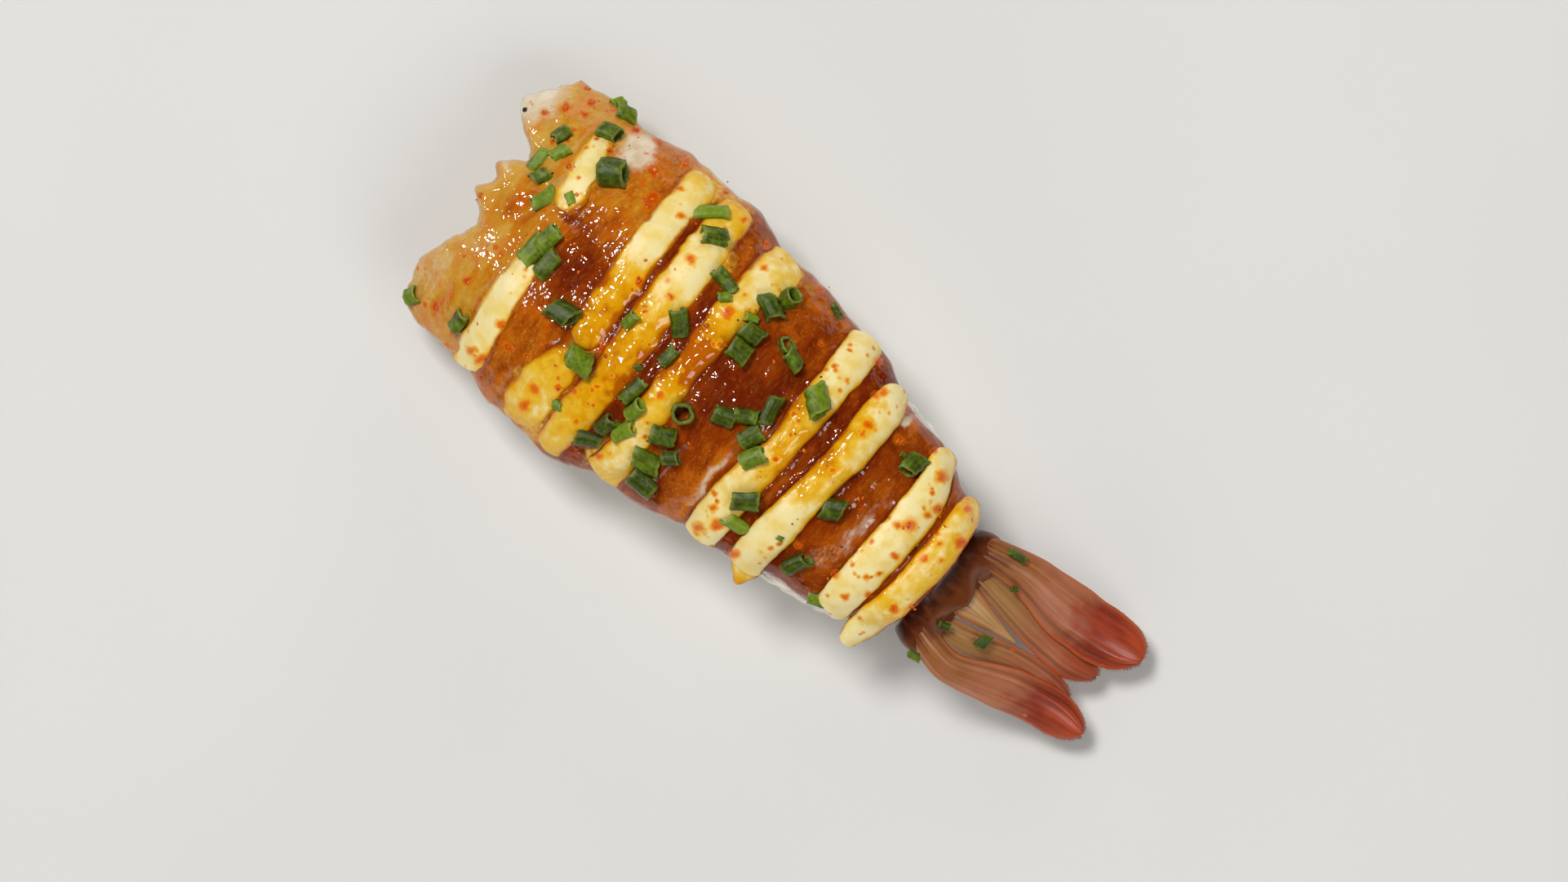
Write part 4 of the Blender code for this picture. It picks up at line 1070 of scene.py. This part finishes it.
def blade_shell():
    """Tones along the blade, then streaks, a blush, painted shade in the trough, rim and outline.
    """
    r = Recipe("tail_blade_shell")
    along, across = r.mark("along"), r.mark("across")
    streak = r.veins(across, along, 7.0, 2.4)
    broad = r.veins(across, along, 2.0, 2.0)
    where = along + (r.noise(2.6, 1) - 0.5) * 0.25 + (broad - 0.5) * 0.25
    outer, inner = (r.tones(where, srgb(*ROOT_BROWN), table)
                    for table in (OUTER_TONES, INNER_TONES))
    colour = r.mix(r.mark("inner"), outer, inner)
    pale = streak.above(0.45, 0.8) * (1 - where.above(0.45, 0.8) * 0.7)
    colour = r.mix(pale * 0.34, colour, srgb(214, 160, 118))
    colour = r.mix((1 - streak.above(0.28, 0.5)) * 0.14, colour, srgb(96, 34, 14))
    flush = broad.above(0.42, 0.65) * where.above(0.5, 0.8)
    colour = r.mix(flush * 0.4, colour, srgb(200, 84, 54))
    # painted shade: a dark line laid in the trough beside each blade's ridge
    trough_shade = (1 - (across + 0.66).above(0.0, 0.12)) * (across + 0.66).above(-0.14, -0.02)
    colour = r.mix(trough_shade * 0.45, colour, srgb(78, 28, 10))
    edge = (across * across + (streak - 0.5) * 0.3).above(0.76, 0.92)
    colour = r.mix(edge * 0.7, colour, srgb(190, 86, 30))
    outline = (across * across).above(0.94, 0.995)
    colour = r.mix(outline * 0.7, colour, srgb(72, 24, 8))
    spots = (1 - r.cells(2.2)).above(0.8, 0.9) * r.noise(4.0, 1).above(0.5, 0.6)
    colour = r.mix(spots * 0.8, colour, srgb(214, 98, 18))
    return shell_surface(r, colour, streak)


def collar_shell():
    """Dark at the front, partly as painted shade by the meat, and browner towards the blades, with
    streaks along.
    """
    r = Recipe("tail_collar_shell")
    streak, cloud = r.noise(0.9, 2, (3, 1, 3), 0.5), r.noise(1.6, 3)
    where = r.mark("along") + (cloud - 0.5) * 0.6 + (streak - 0.5) * 0.4
    # the dark front is partly the shell's own brown and partly painted shade from the meat's end
    # above it
    colour = r.mix(where.above(0.1, 0.9), srgb(62, 22, 6), srgb(112, 54, 20))
    colour = r.mix(streak.above(0.52, 0.75) * 0.5, colour, srgb(122, 64, 24))
    return shell_surface(r, colour, streak)


def telson_shell():
    """Pale and streaked, with orange edges and a dark root."""
    r = Recipe("telson_shell")
    across = r.mark("across")
    streak = r.veins(across, r.mark("along"), 5.0, 1.4)
    colour = r.mix(streak.above(0.35, 0.7), srgb(188, 150, 98), srgb(160, 108, 58))
    edge = (across * across + (streak - 0.5) * 0.2).above(0.5, 0.95)
    colour = r.mix(edge * 0.85, colour, srgb(196, 98, 40))
    colour = r.mix(1 - r.mark("along").above(0.05, 0.25), colour, srgb(120, 62, 24))
    return shell_surface(r, colour, streak)


def hair_brown():
    """Browns by a coarse noise, and matt."""
    r = Recipe("tail_hair")
    return r.finish(Base_Color=r.mix(r.noise(1.5, 2), srgb(92, 46, 22), srgb(168, 92, 44)),
                    Roughness=0.6)


dress(blades, blade_shell(), "tail_shell", "tail_fan")
dress(collar, collar_shell(), "tail_shell")
dress(telson, telson_shell(), "tail_shell")
dress(hair_fringe, hair_brown(), "tail_shell")

# %% [markdown]
# ## What lies on top
# Chives, chilli and pepper need the height of whatever is under them, meat or stripe.

# %% Height of the dressed top
FAN_THICKNESS = 0.8
SLOPE_STEP, STEEPEST = 0.8, 0.8


def dressed_top(x, y):
    """Upper surface of meat and stripes together, and of the fan behind them."""
    x, y = np.asarray(x, float), np.asarray(y, float)
    cover = stripe_cover(x, y)
    on_meat = np.where(cover > 0.05, plain_top(x, y) + cover, meat_top(x, y)[0])
    return np.where(x > REAR_X, through(FAN_HEIGHT, x) + FAN_THICKNESS, on_meat)


def slope_frames(x, y, turn, tip, roll):
    """3 x 3 frames that lie on the surface: turned about its normal, tipped up, rolled."""
    rise_x = dressed_top(x + SLOPE_STEP, y) - dressed_top(x - SLOPE_STEP, y)
    rise_y = dressed_top(x, y + SLOPE_STEP) - dressed_top(x, y - SLOPE_STEP)
    rise_x = np.clip(rise_x / (2 * SLOPE_STEP), -STEEPEST, STEEPEST)
    rise_y = np.clip(rise_y / (2 * SLOPE_STEP), -STEEPEST, STEEPEST)
    normal = unit(np.stack([-rise_x, -rise_y, np.ones_like(rise_x)], -1))
    along = np.stack([np.cos(turn), np.sin(turn), 0 * turn], -1)
    along = unit(along - normal * (along * normal).sum(-1, keepdims=True))
    along = along * np.cos(tip)[:, None] + normal * np.sin(tip)[:, None]
    side = unit(np.cross(normal, along))
    up = np.cross(along, side)
    turned = side * np.cos(roll)[:, None] + up * np.sin(roll)[:, None]
    return np.stack([along, turned, np.cross(along, turned)], 1)


# %% [markdown]
# ## Cut chives
# A chive is a hollow leaf, so each piece is a short tube: one profile that runs along the
# outside, over the cut edge, back along the inside and over the other cut, spun round.
# Each is squashed a little, bent a little, and cut at a slant. Most lie on the cream or
# beside it, some stand on end, and a few have fallen on the tail.

# %% Chives
# x, y, length, diameter, turn in degrees, tip up in degrees
CHIVES = [
    (-40.6, 18.6, 2.6, 2.6, 15, 0), (-40.4, 15.4, 2.4, 2.6, 5, 0),
    (-36.8, 11.8, 3.4, 3.5, 20, 8), (-44.8, 11.4, 2.2, 2.0, 80, 0),
    (-43.4, 9.6, 2.4, 1.7, 60, 10), (-45.0, 7.2, 3.2, 1.8, 85, 0),
    (-43.4, 5.8, 2.2, 1.9, 70, 0), (-41.2, 3.9, 3.2, 2.0, 82, 0),
    (-37.5, 0.6, 3.4, 2.3, 80, 10), (-38.0, -1.6, 4.0, 2.8, 88, 0),
    (-35.6, -1.9, 3.6, 2.3, 80, 5), (-46.4, -15.4, 2.0, 2.2, 60, 0),
    (-39.8, -14.1, 3.0, 2.2, 82, 0), (-30.4, -5.2, 3.4, 2.6, 10, 12),
    (-25.2, -8.3, 3.4, 2.8, 5, 0), (-24.6, 15.8, 4.4, 2.2, 42, 5),
    (-22.3, 13.7, 3.2, 2.4, 40, 0), (-17.8, 10.4, 3.4, 2.0, -15, 0),
    (-18.8, 3.0, 3.4, 2.4, -40, 0), (-23.6, -0.7, 2.2, 1.9, 70, 15),
    (-17.2, -1.1, 2.6, 1.9, 85, 0), (-17.9, -7.0, 3.8, 1.8, 80, 0),
    (-16.2, -8.6, 2.6, 2.0, 70, 8), (-15.6, -11.4, 3.2, 1.8, 60, 0),
    (-17.8, -12.2, 2.6, 2.0, 80, 0), (-18.5, -15.1, 3.2, 2.2, 35, 0),
    (-11.5, -5.2, 2.2, 2.8, 90, 78), (-10.4, 13.8, 1.9, 2.5, 45, 74),
    (-11.4, 11.4, 3.2, 2.6, -30, 0), (-11.2, 7.4, 2.8, 2.6, 5, 0),
    (-11.0, 5.0, 2.8, 2.8, 0, 0), (-5.4, 8.3, 2.6, 2.2, -15, 0),
    (-3.6, 1.8, 3.8, 1.9, 100, 8), (-5.4, -0.6, 3.0, 2.0, 30, 0),
    (-3.4, -2.2, 3.0, 2.4, 70, 0), (-1.6, -4.0, 3.2, 2.2, 50, 0),
    (-7.4, -2.4, 2.8, 2.2, 20, 0), (0.0, 6.4, 3.6, 2.8, -40, 0),
    (-11.6, -9.0, 3.2, 2.4, 25, 0), (-11.2, -12.6, 3.6, 2.8, 5, 0),
    (-9.9, -14.9, 3.6, 2.6, 0, 0), (1.1, -8.6, 3.4, 2.8, 40, 12),
    (1.8, -11.4, 3.0, 2.0, -10, 0), (13.8, 7.7, 2.8, 2.6, 80, 0),
    (9.8, -2.6, 2.6, 2.6, 30, 10), (10.6, -10.4, 3.2, 2.2, 75, 0),
    (15.7, -12.0, 3.0, 2.0, 35, 0),
    # smaller ones
    (-42.2, 19.0, 1.6, 1.3, 70, 0), (-38.7, 6.1, 1.6, 1.1, -30, 0),
    (-23.8, -14.2, 1.3, 1.2, 20, 0), (-7.1, 9.1, 0.8, 2.4, 30, 70),
    (1.0, 5.1, 1.8, 1.4, 60, 0), (-12.6, 8.9, 1.8, 1.3, 30, 0),
    (-9.2, -10.4, 2.2, 1.8, 50, 0), (7.1, -9.3, 0.8, 0.8, 0, 0),
    (12.4, 7.9, 1.2, 0.9, 10, 0), (-16.6, 8.8, 1.6, 1.4, 40, 0),
    (-5.2, 16.2, 1.9, 1.0, -20, 0), (-19.2, -4.4, 0.9, 0.9, 0, 0),
    # on the tail
    (30.8, 7.4, 2.6, 1.0, 5, 0), (33.2, 4.0, 0.9, 0.7, 30, 0), (34.4, -3.3, 2.0, 1.5, 85, 0),
    (29.4, -4.8, 1.6, 0.9, 20, 0), (28.9, -10.0, 1.7, 1.1, 10, 0),
]
CHIVE_SIDES = 14
CHIVE_BORE, CHIVE_RIM = 0.74, 0.86


def chive_profile(points_along=6):
    """Closed profile of a tube wall: radius and place along, both as shares of 1, and how
    much of a cut edge each point is."""
    out = np.linspace(-1, 1, points_along)
    bore = np.full(points_along, CHIVE_BORE)
    radius = np.concatenate([np.ones(points_along), [CHIVE_RIM], bore, [CHIVE_RIM]])
    along = np.concatenate([out * 0.97, [1.0], out[::-1] * 0.97, [-1.0]])
    cut = np.concatenate([np.abs(out) ** 24, [1.0], np.full(points_along, 0.6), [1.0]])
    return radius, along / 2, cut


def chive_tubes(table, seed):
    """All tubes at once: the spun profile, squashed, dented, bent, slant-cut with a ragged
    cut, turned and placed. A piece in deep glaze gets a darker tone."""
    rng = np.random.default_rng(seed)
    x, y, length, wide, turn, tip = np.array(table, float).T
    radius, along, cut = chive_profile()
    angle = circle(CHIVE_SIDES)
    n, a, k = len(table), len(radius), CHIVE_SIDES
    squash = np.where(tip > 40, 0.9, rng.uniform(0.5, 0.88, n))[:, None, None]
    dents = 1 + 0.07 * rng.normal(0, 1, (n, 1, k)) + 0.05 * rng.normal(0, 1, (n, a, 1))
    ring = radius[None, :, None] * wide[:, None, None] / 2 * dents
    side = ring * np.cos(angle)[None, None, :]
    up = ring * np.sin(angle)[None, None, :] * squash
    ends = np.abs(along[None, :, None]) * 2
    run = np.broadcast_to(along[None, :, None] * length[:, None, None], (n, a, k))
    run = run + rng.uniform(-0.4, 0.4, (n, 1, 1)) * side * ends
    run = run + 0.09 * rng.normal(0, 1, (n, 1, k)) * ends ** 3
    up = up + rng.uniform(-0.07, 0.07, (n, 1, 1)) * run ** 2
    side = side + rng.uniform(-0.05, 0.05, (n, 1, 1)) * run ** 2
    local = np.stack([run, side, up], -1).reshape(n, a * k, 3)
    frames = slope_frames(x, y, np.radians(turn), np.radians(tip), rng.uniform(-0.4, 0.4, n))
    lift = wide / 2 * np.cos(np.radians(tip)) * squash[:, 0, 0] - 0.25
    lift = lift + length / 2 * np.sin(np.radians(tip)) * 0.8
    place = np.stack([x, y, dressed_top(x, y) + lift], -1)
    i, j = np.meshgrid(np.arange(a), np.arange(k), indexing="ij")
    quads = np.stack([i * k + j, i * k + (j + 1) % k,
                      (i + 1) % a * k + (j + 1) % k, (i + 1) % a * k + j], -1).reshape(-1, 4)
    points, faces = copies(local, quads, frames, place)
    soaked = np.where(stripe_cover(x, y) > 0.3, 0.1, 0.75 * glaze_depth(x, y))
    tone = np.repeat(rng.uniform(0.3, 1, n) * (1 - soaked), a * k)
    cuts = np.broadcast_to(cut[None, :, None], (n, a, k))
    around = np.broadcast_to((angle / (2 * math.pi))[None, None, :], (n, a, k))
    return points, faces, tone, cuts, around


chive_points, chive_faces, tone, cuts, around = chive_tubes(CHIVES, 71)
chives = make_piece("cut_chives", chive_points, chive_faces, tone=tone, cut=cuts,
                    around=around)

# %% [markdown]
# ## Green, and paler where it was cut
# The outside is dark green with fine lighter lines along the leaf. The cut edges and the
# inside are pale yellow-green. Each piece has its own tone, because some are fresh and
# dry and others lie soaked in glaze.

# %% Chive finish
def chive_green():
    """Dark or fresh green by tone, fine lines along the leaf, and pale cuts."""
    r = Recipe("chive_green")
    tone, cut, around = r.mark("tone"), r.mark("cut"), r.mark("around")
    lines = r.node("ShaderNodeMath", {"operation": "SINE"}, {0: around * 75.0}) * 0.5 + 0.5
    fine, patchy = r.noise(0.5, 3), r.noise(1.1, 2)
    dark = r.mix(fine, srgb(30, 42, 4), srgb(62, 76, 6))
    fresh = r.mix(fine, srgb(84, 114, 12), srgb(140, 162, 30))
    shade = tone + (patchy - 0.5) * 0.9 + (fine - 0.5) * 0.4
    skin = r.mix(shade.above(0.05, 0.85), dark, fresh)
    skin = r.mix(lines * 0.1, skin, srgb(132, 150, 50))
    colour = r.mix(cut.above(0.3, 0.9) * (tone * 0.6 + 0.15), skin, srgb(150, 162, 66))
    bumps = r.bump(fine, 0.08, r.bump(lines, 0.012))
    return r.finish(Base_Color=colour, Roughness=0.34, Normal=bumps, Specular_IOR_Level=0.3,
                    Subsurface_Weight=0.08, Subsurface_Scale=0.0008,
                    Subsurface_Radius=(0.4, 1.0, 0.2))


dress(chives, chive_green(), "chive_green")

# %% [markdown]
# ## Chilli and pepper
# Flakes of chilli and grains of pepper are a few tenths of a millimetre. Each is a chip:
# a ragged ring of seven points with one point above and one below, rounded by its smooth
# shading. It has its own size, turn and outline, and is pressed into the surface.

# %% Flakes and specks
CHIP_RING, LOOSE_FLAKES, PEPPER_SPECKS = 7, 300, 24
CHIP_FACES = np.concatenate([fan_faces(CHIP_RING, 0, CHIP_RING),
                             fan_faces(CHIP_RING + 1, 0, CHIP_RING, True)])


def scatter(count, rng, head):
    """Random places on the meat, denser towards the head end as `head` grows."""
    x = REAR_X - 1.2 - (REAR_X - FRONT_X - 2.0) * rng.uniform(0, 1, count) ** (1 - head)
    middle, half = middle_and_half(x)
    return x, middle + half * 0.96 * rng.uniform(-1, 1, count)


def chips(name, x, y, size, thick, sink, rng):
    """Chips at x, y: ring radius size / 2, one point above and one below, turned to lie
    on the surface."""
    count = len(x)
    angle = circle(CHIP_RING) + rng.uniform(-0.25, 0.25, (count, CHIP_RING))
    reach = rng.uniform(0.6, 1.15, (count, CHIP_RING)) * size[:, None] / 2
    narrow = rng.uniform(0.55, 1.0, (count, 1))
    ring = np.stack([reach * np.cos(angle), reach * np.sin(angle) * narrow,
                     rng.uniform(-0.2, 0.2, (count, CHIP_RING)) * thick * size[:, None]], -1)
    peak = np.zeros((count, 2, 3))
    peak[:, :, 2] = thick * size[:, None] * np.array([0.6, -0.5])
    local = np.concatenate([ring, peak], 1)
    frames = slope_frames(x, y, rng.uniform(0, 6.28, count), rng.uniform(-0.25, 0.25, count),
                          rng.uniform(-0.3, 0.3, count))
    place = np.stack([x, y, dressed_top(x, y) + sink], -1)
    return make_piece(name, *copies(local, CHIP_FACES, frames, place),
                      tone=np.repeat(rng.uniform(0, 1, count), CHIP_RING + 2))


def chip_finish(name, dark, light, rough):
    """A tone between dark and light for each chip, with darker specks in it."""
    r = Recipe(name)
    colour = r.mix(r.mark("tone"), dark, light)
    colour = r.mix(r.noise(0.3, 2) * 0.4, colour, dark)
    return r.finish(Base_Color=colour, Roughness=rough, Specular_IOR_Level=0.4,
                    Normal=r.bump(r.noise(0.15, 1), 0.03))


rng = np.random.default_rng(81)
place_x, place_y, place_size = np.array(CHILLI).T
# each named stain holds a main flake and two crumbs beside it, smaller and a little off
off = np.repeat([0, 0.45, 0.45], len(CHILLI))
near_x = np.concatenate([place_x] * 3) + off * rng.normal(0, 1, len(off))
near_y = np.concatenate([place_y] * 3) + off * rng.normal(0, 1, len(off))
near_size = np.concatenate([0.62 * place_size, 0.36 * place_size, 0.3 * place_size])
loose_x, loose_y = scatter(LOOSE_FLAKES, rng, 0.4)
loose_size = 0.2 + 0.65 * rng.uniform(0, 1, LOOSE_FLAKES) ** 3
flakes = chips("chilli_flakes", np.concatenate([near_x, loose_x]),
               np.concatenate([near_y, loose_y]), np.concatenate([near_size, loose_size]),
               0.14, 0.0, rng)
dress(flakes, chip_finish("chilli_flake", srgb(210, 76, 2), srgb(236, 138, 12), 0.4),
      "chilli_flake")
rng = np.random.default_rng(83)
speck_x, speck_y = scatter(PEPPER_SPECKS, rng, 0.0)
speck_size = 0.2 + 0.3 * rng.uniform(0, 1, PEPPER_SPECKS) ** 2
# one large speck lies on the pointed flap of the head end
speck_x, speck_y = np.append(speck_x, -50.3), np.append(speck_y, 11.0)
speck_size = np.append(speck_size, 0.85)
specks = chips("pepper_specks", speck_x, speck_y, speck_size, 0.8, 0.08, rng)
dress(specks, chip_finish("pepper_speck", srgb(22, 15, 8), srgb(60, 40, 16), 0.5),
      "pepper_speck")

# %% [markdown]
# ## Rice grains
# The rice that shows is its sides and ends. Each grain is a spindle with a blunt nose,
# slightly bent, copied over the wall of the block. The places follow a golden-ratio
# sequence, which spreads them evenly without rows, and each grain is turned at random
# within the wall and sunk by its own amount. Under them is a core of the same shape as
# the wall, a little smaller, so that no gap shows through.

# %% Rice wall and grains
GRAIN_LENGTH, GRAIN_THICKNESS, GRAIN_COUNT = 6.4, 2.6, 620
GRAIN_RINGS, GRAIN_SIDES = 7, 8
# steps round the block and up its wall from one grain to the next, as shares of each
STEP_ROUND, STEP_UP = 0.6180339887, 0.7548776662


def rice_half_width(x):
    """Half width of the block, closing round at both ends."""
    along = (np.asarray(x, float) - RICE_FRONT) / (RICE_REAR - RICE_FRONT)
    ends = np.clip(1 - np.abs(2 * along - 1) ** 6, 0, 1) ** 0.34
    return (RICE_HALF_WIDTH - RICE_TAPER * np.clip(along, 0, 1) ** 3) * ends


def wall_outline():
    """The block's outline from above, and the length run at each of its points."""
    t = np.linspace(0, math.pi, 160)
    x = (RICE_FRONT + RICE_REAR) / 2 - (RICE_REAR - RICE_FRONT) / 2 * 0.998 * np.cos(t)
    half = rice_half_width(x)
    upper = np.stack([x, rice_middle(x) + half], -1)
    lower = np.stack([x, rice_middle(x) - half], -1)[::-1]
    loop = np.concatenate([upper, lower, upper[:1]])
    return loop, np.concatenate([[0], np.cumsum(np.hypot(*np.diff(loop, axis=0).T))])


def on_wall(turn):
    """x, y and the outward direction at a share of the way round the block."""
    loop, run = wall_outline()
    here = turn * run[-1]
    x, y = (np.interp(here, run, loop[:, c]) for c in (0, 1))
    dx = np.interp(here + 0.5, run, loop[:, 0]) - x
    dy = np.interp(here + 0.5, run, loop[:, 1]) - y
    size = np.hypot(dx, dy)
    return x, y, np.stack([-dy / size, dx / size, 0 * x], -1)


def grain_shape():
    """Spindle of unit length and thickness: rings on a blunt superellipse, then two tips."""
    along = np.sin(np.linspace(-1, 1, GRAIN_RINGS) * math.pi / 2 * 0.9)
    radius = (1 - np.abs(along) ** 2.3) ** 0.55 * (1 - 0.12 * along)
    angle = circle(GRAIN_SIDES)
    rings = np.stack([np.broadcast_to(along[:, None], (GRAIN_RINGS, GRAIN_SIDES)),
                      radius[:, None] * np.cos(angle), radius[:, None] * np.sin(angle) * 0.88], -1)
    shape = np.concatenate([rings.reshape(-1, 3), [(-1.0, 0, 0), (1.0, 0, 0)]]) / 2
    count = GRAIN_RINGS * GRAIN_SIDES
    caps = np.concatenate([fan_faces(count, 0, GRAIN_SIDES, True),
                           fan_faces(count + 1, count - GRAIN_SIDES, GRAIN_SIDES)])
    return shape, tube_faces(GRAIN_RINGS, GRAIN_SIDES), caps


def rice_grains(count, seed):
    """Grains over the wall: places on the sequence, frames in the wall, sunk and bent."""
    rng = np.random.default_rng(seed)
    n = np.arange(count)
    x, y, outward = on_wall((n * STEP_ROUND + rng.uniform(0, 0.01, count)) % 1.0)
    ceiling = underside(x, y) - 0.9
    z = 1.0 + (ceiling - 1.4) * ((n * STEP_UP) % 1.0)
    bulge = 0.6 * ((z - 8) / 8) ** 2 + rng.uniform(0.1, 1.3, count)
    level = np.cross([0, 0, 1], outward)
    tilt = rng.uniform(-1.1, 1.1, count)[:, None]
    along = level * np.cos(tilt) + np.array([0, 0, 1]) * np.sin(tilt)
    lean = rng.uniform(-0.35, 0.35, count)[:, None]
    along = along * np.cos(lean) + outward * np.sin(lean)
    side = unit(np.cross(outward, along))
    length = GRAIN_LENGTH * rng.uniform(0.8, 1.08, count)[:, None]
    thick = GRAIN_THICKNESS * rng.uniform(0.86, 1.1, count)[:, None]
    frames = np.stack([along * length, side * thick, np.cross(along, side) * thick], 1)
    place = np.stack([x, y, z], -1) - outward * bulge[:, None]
    return frames, place, rng.uniform(0, 1, count)


shape, quads, caps = grain_shape()
frames, place, tone = rice_grains(GRAIN_COUNT, 91)
grain_points, grain_quads = copies(shape, quads, frames, place)
_, grain_caps = copies(shape, caps, frames, place)
roof = underside(grain_points[..., 0], grain_points[..., 1]) - 0.35
grain_points[..., 2] = np.clip(grain_points[..., 2], 0.03, np.maximum(roof, 0.1))
rice = make_piece("rice_grains", grain_points, grain_quads, grain_caps,
                  tone=np.repeat(tone, len(shape)))

# %% [markdown]
# ## The core under the grains
# Sections of the block are closed loops: a flat foot, sides that bulge, and a top that
# follows the meat's underside. Carried along x they close to a small flat at both ends,
# hidden behind the grains.

# %% Rice core
CORE_RINGS, CORE_SIDES, CORE_INSET = 60, 48, 0.9


def rice_core():
    """Sections of the wall's shape, drawn in by an inset, along x."""
    t = np.linspace(0.03, math.pi - 0.03, CORE_RINGS)
    reach = (RICE_REAR - RICE_FRONT) / 2 - CORE_INSET
    x = ((RICE_FRONT + RICE_REAR) / 2 - reach * np.cos(t))[:, None]
    half = np.maximum(rice_half_width(x) - CORE_INSET, 0.5)
    angle = 2 * math.pi * (np.arange(CORE_SIDES) + 0.5) / CORE_SIDES
    across, up = squared_off(np.cos(angle), 0.45), squared_off(np.sin(angle), 0.5)
    y = rice_middle(x) + half * across
    roof = underside(x, y) - 0.5
    z = np.clip(roof / 2 * (1 + 1.06 * up), 0.02, roof)
    return np.stack([np.broadcast_to(x, y.shape), y, z], -1)


core_points = rice_core()
tips = np.stack([core_points[0].mean(0), core_points[-1].mean(0)])
last = (CORE_RINGS - 1) * CORE_SIDES
core_count = CORE_RINGS * CORE_SIDES
core = make_piece("rice_core", np.concatenate([core_points.reshape(-1, 3), tips]),
                  tube_faces(CORE_RINGS, CORE_SIDES),
                  fan_faces(core_count, 0, CORE_SIDES, True),
                  fan_faces(core_count + 1, last, CORE_SIDES),
                  tone=np.full(core_count + 2, 0.35))

# %% [markdown]
# ## Cooked rice
# Cooked rice is white but not opaque: light goes in and comes out soft, which
# subsurface scattering gives, and its skin is moist. Grains differ slightly in tone, and
# a faint milky belly shows in some.

# %% Rice finish
def cooked_rice():
    """Three whites by tone and cloud, moist, with light inside."""
    r = Recipe("cooked_rice")
    tone, cloud = r.mark("tone"), r.noise(1.6, 2)
    colour = r.mix(tone, srgb(244, 236, 216), srgb(253, 248, 236))
    colour = r.mix(cloud.above(0.45, 0.75) * 0.5, colour, srgb(255, 253, 249))
    bumps = r.bump(r.noise(0.6, 2), 0.05)
    return r.finish(Base_Color=colour, Roughness=0.34, Normal=bumps, Coat_Weight=0.35,
                    Coat_Roughness=0.15, Subsurface_Weight=0.4, Subsurface_Scale=0.0018,
                    Subsurface_Radius=(1.0, 0.85, 0.65))


rice_finish = cooked_rice()
dress(rice, rice_finish, "rice", "rice_block")
dress(core, rice_finish, "rice")

# %% [markdown]
# ## Floor, light and camera
# The floor is plain and pale. A soft key light stands high on the head end's side, so that
# shadows fall towards the tail, and a wide fill stands on the tail's side. Two low lamps
# light the sides of the rice. All four, and the sky, are hidden from mirror reflections,
# where they would lie as white sheets on the glaze. Seven small lamps spread over the head
# end's side do the opposite: they show only as glints on what is wet, and one more behind
# the tail puts a sheen on its shell. The camera looks straight down, turned so that the
# tail points to the lower right of the picture.

# %% Stage
FLOOR_REACH, FLOOR_HEIGHT = 900, -0.1
corners = [(-1, -1), (1, -1), (1, 1), (-1, 1)]
floor = make_piece("floor", [(x * FLOOR_REACH, y * FLOOR_REACH, FLOOR_HEIGHT)
                             for x, y in corners], np.array([[0, 1, 2, 3]]))
paper = Recipe("pale_floor")
floor.data.materials.append(paper.finish(
    Base_Color=paper.mix(paper.noise(60, 2), (0.68, 0.68, 0.67), (0.73, 0.73, 0.72)),
    Roughness=0.7))
PIECE_MIDDLE = Vector((0, 0, 0.015))


def area_light(name, place, size, power, colour=(1, 1, 1)):
    """A square soft light that faces the middle of the piece."""
    lamp = bpy.data.lights.new(name, "AREA")
    lamp.size, lamp.energy, lamp.color = size, power, colour
    holder = bpy.data.objects.new(name, lamp)
    bpy.context.scene.collection.objects.link(holder)
    holder.location = place
    aim = PIECE_MIDDLE - Vector(place)
    holder.rotation_euler = aim.to_track_quat("-Z", "Y").to_euler()
    return holder


WARM = (1.0, 0.98, 0.95)
key = area_light("key", (-0.64, 0.16, 1.34), 0.40, 15.2, WARM)
fill = area_light("fill", (0.90, -0.20, 1.00), 0.90, 5.4, WARM)
low_left = area_light("low left", (0.30, -1.15, 0.34), 0.70, 2.6, WARM)
low_right = area_light("low right", (-0.30, 1.15, 0.34), 0.70, 2.6, WARM)
for lamp in (key, fill, low_left, low_right):
    lamp.visible_glossy = False
# where each small lamp hangs, in metres
GLINTS = [(-0.40, 0.30, 1.36), (-0.40, -0.28, 1.36), (-0.95, 0.62, 0.95), (-1.00, 0.05, 1.00),
          (-0.95, -0.55, 0.95), (-1.20, 0.30, 0.55), (-1.20, -0.35, 0.55)]
for place in GLINTS:
    area_light("glint", place, 0.09, 3.2).visible_diffuse = False
area_light("tail sheen", (0.90, 0.05, 1.00), 0.35, 2.4).visible_diffuse = False
world = bpy.data.worlds.new("studio")
world.use_nodes = True
sky = world.node_tree.nodes["Background"].inputs
sky["Color"].default_value, sky["Strength"].default_value = (1.0, 0.99, 0.97, 1), 0.17
world.cycles_visibility.glossy = False
bpy.context.scene.world = world

# %% Camera
PICTURE = (1921, 1081)
# width that the picture takes in, at this height above the floor, in metres
FRAME_WIDTH, WIDTH_MEASURED_AT = 0.19, 0.02
CAMERA_HEIGHT, CAMERA_TURN = 0.90, 39.7
lens = bpy.data.cameras.new("overhead")
lens.sensor_width = 36.0
lens.lens = lens.sensor_width * (CAMERA_HEIGHT - WIDTH_MEASURED_AT) / FRAME_WIDTH
lens.clip_start = 0.05
camera = bpy.data.objects.new("overhead", lens)
camera.location = (0.0, 0.0, CAMERA_HEIGHT)
camera.rotation_euler = (0.0, 0.0, math.radians(CAMERA_TURN))
bpy.context.scene.collection.objects.link(camera)
bpy.context.scene.camera = camera
bpy.context.scene.view_settings.view_transform = "Standard"
print("millimetres across the picture:", FRAME_WIDTH / MM, "over", PICTURE[0], "pixels")
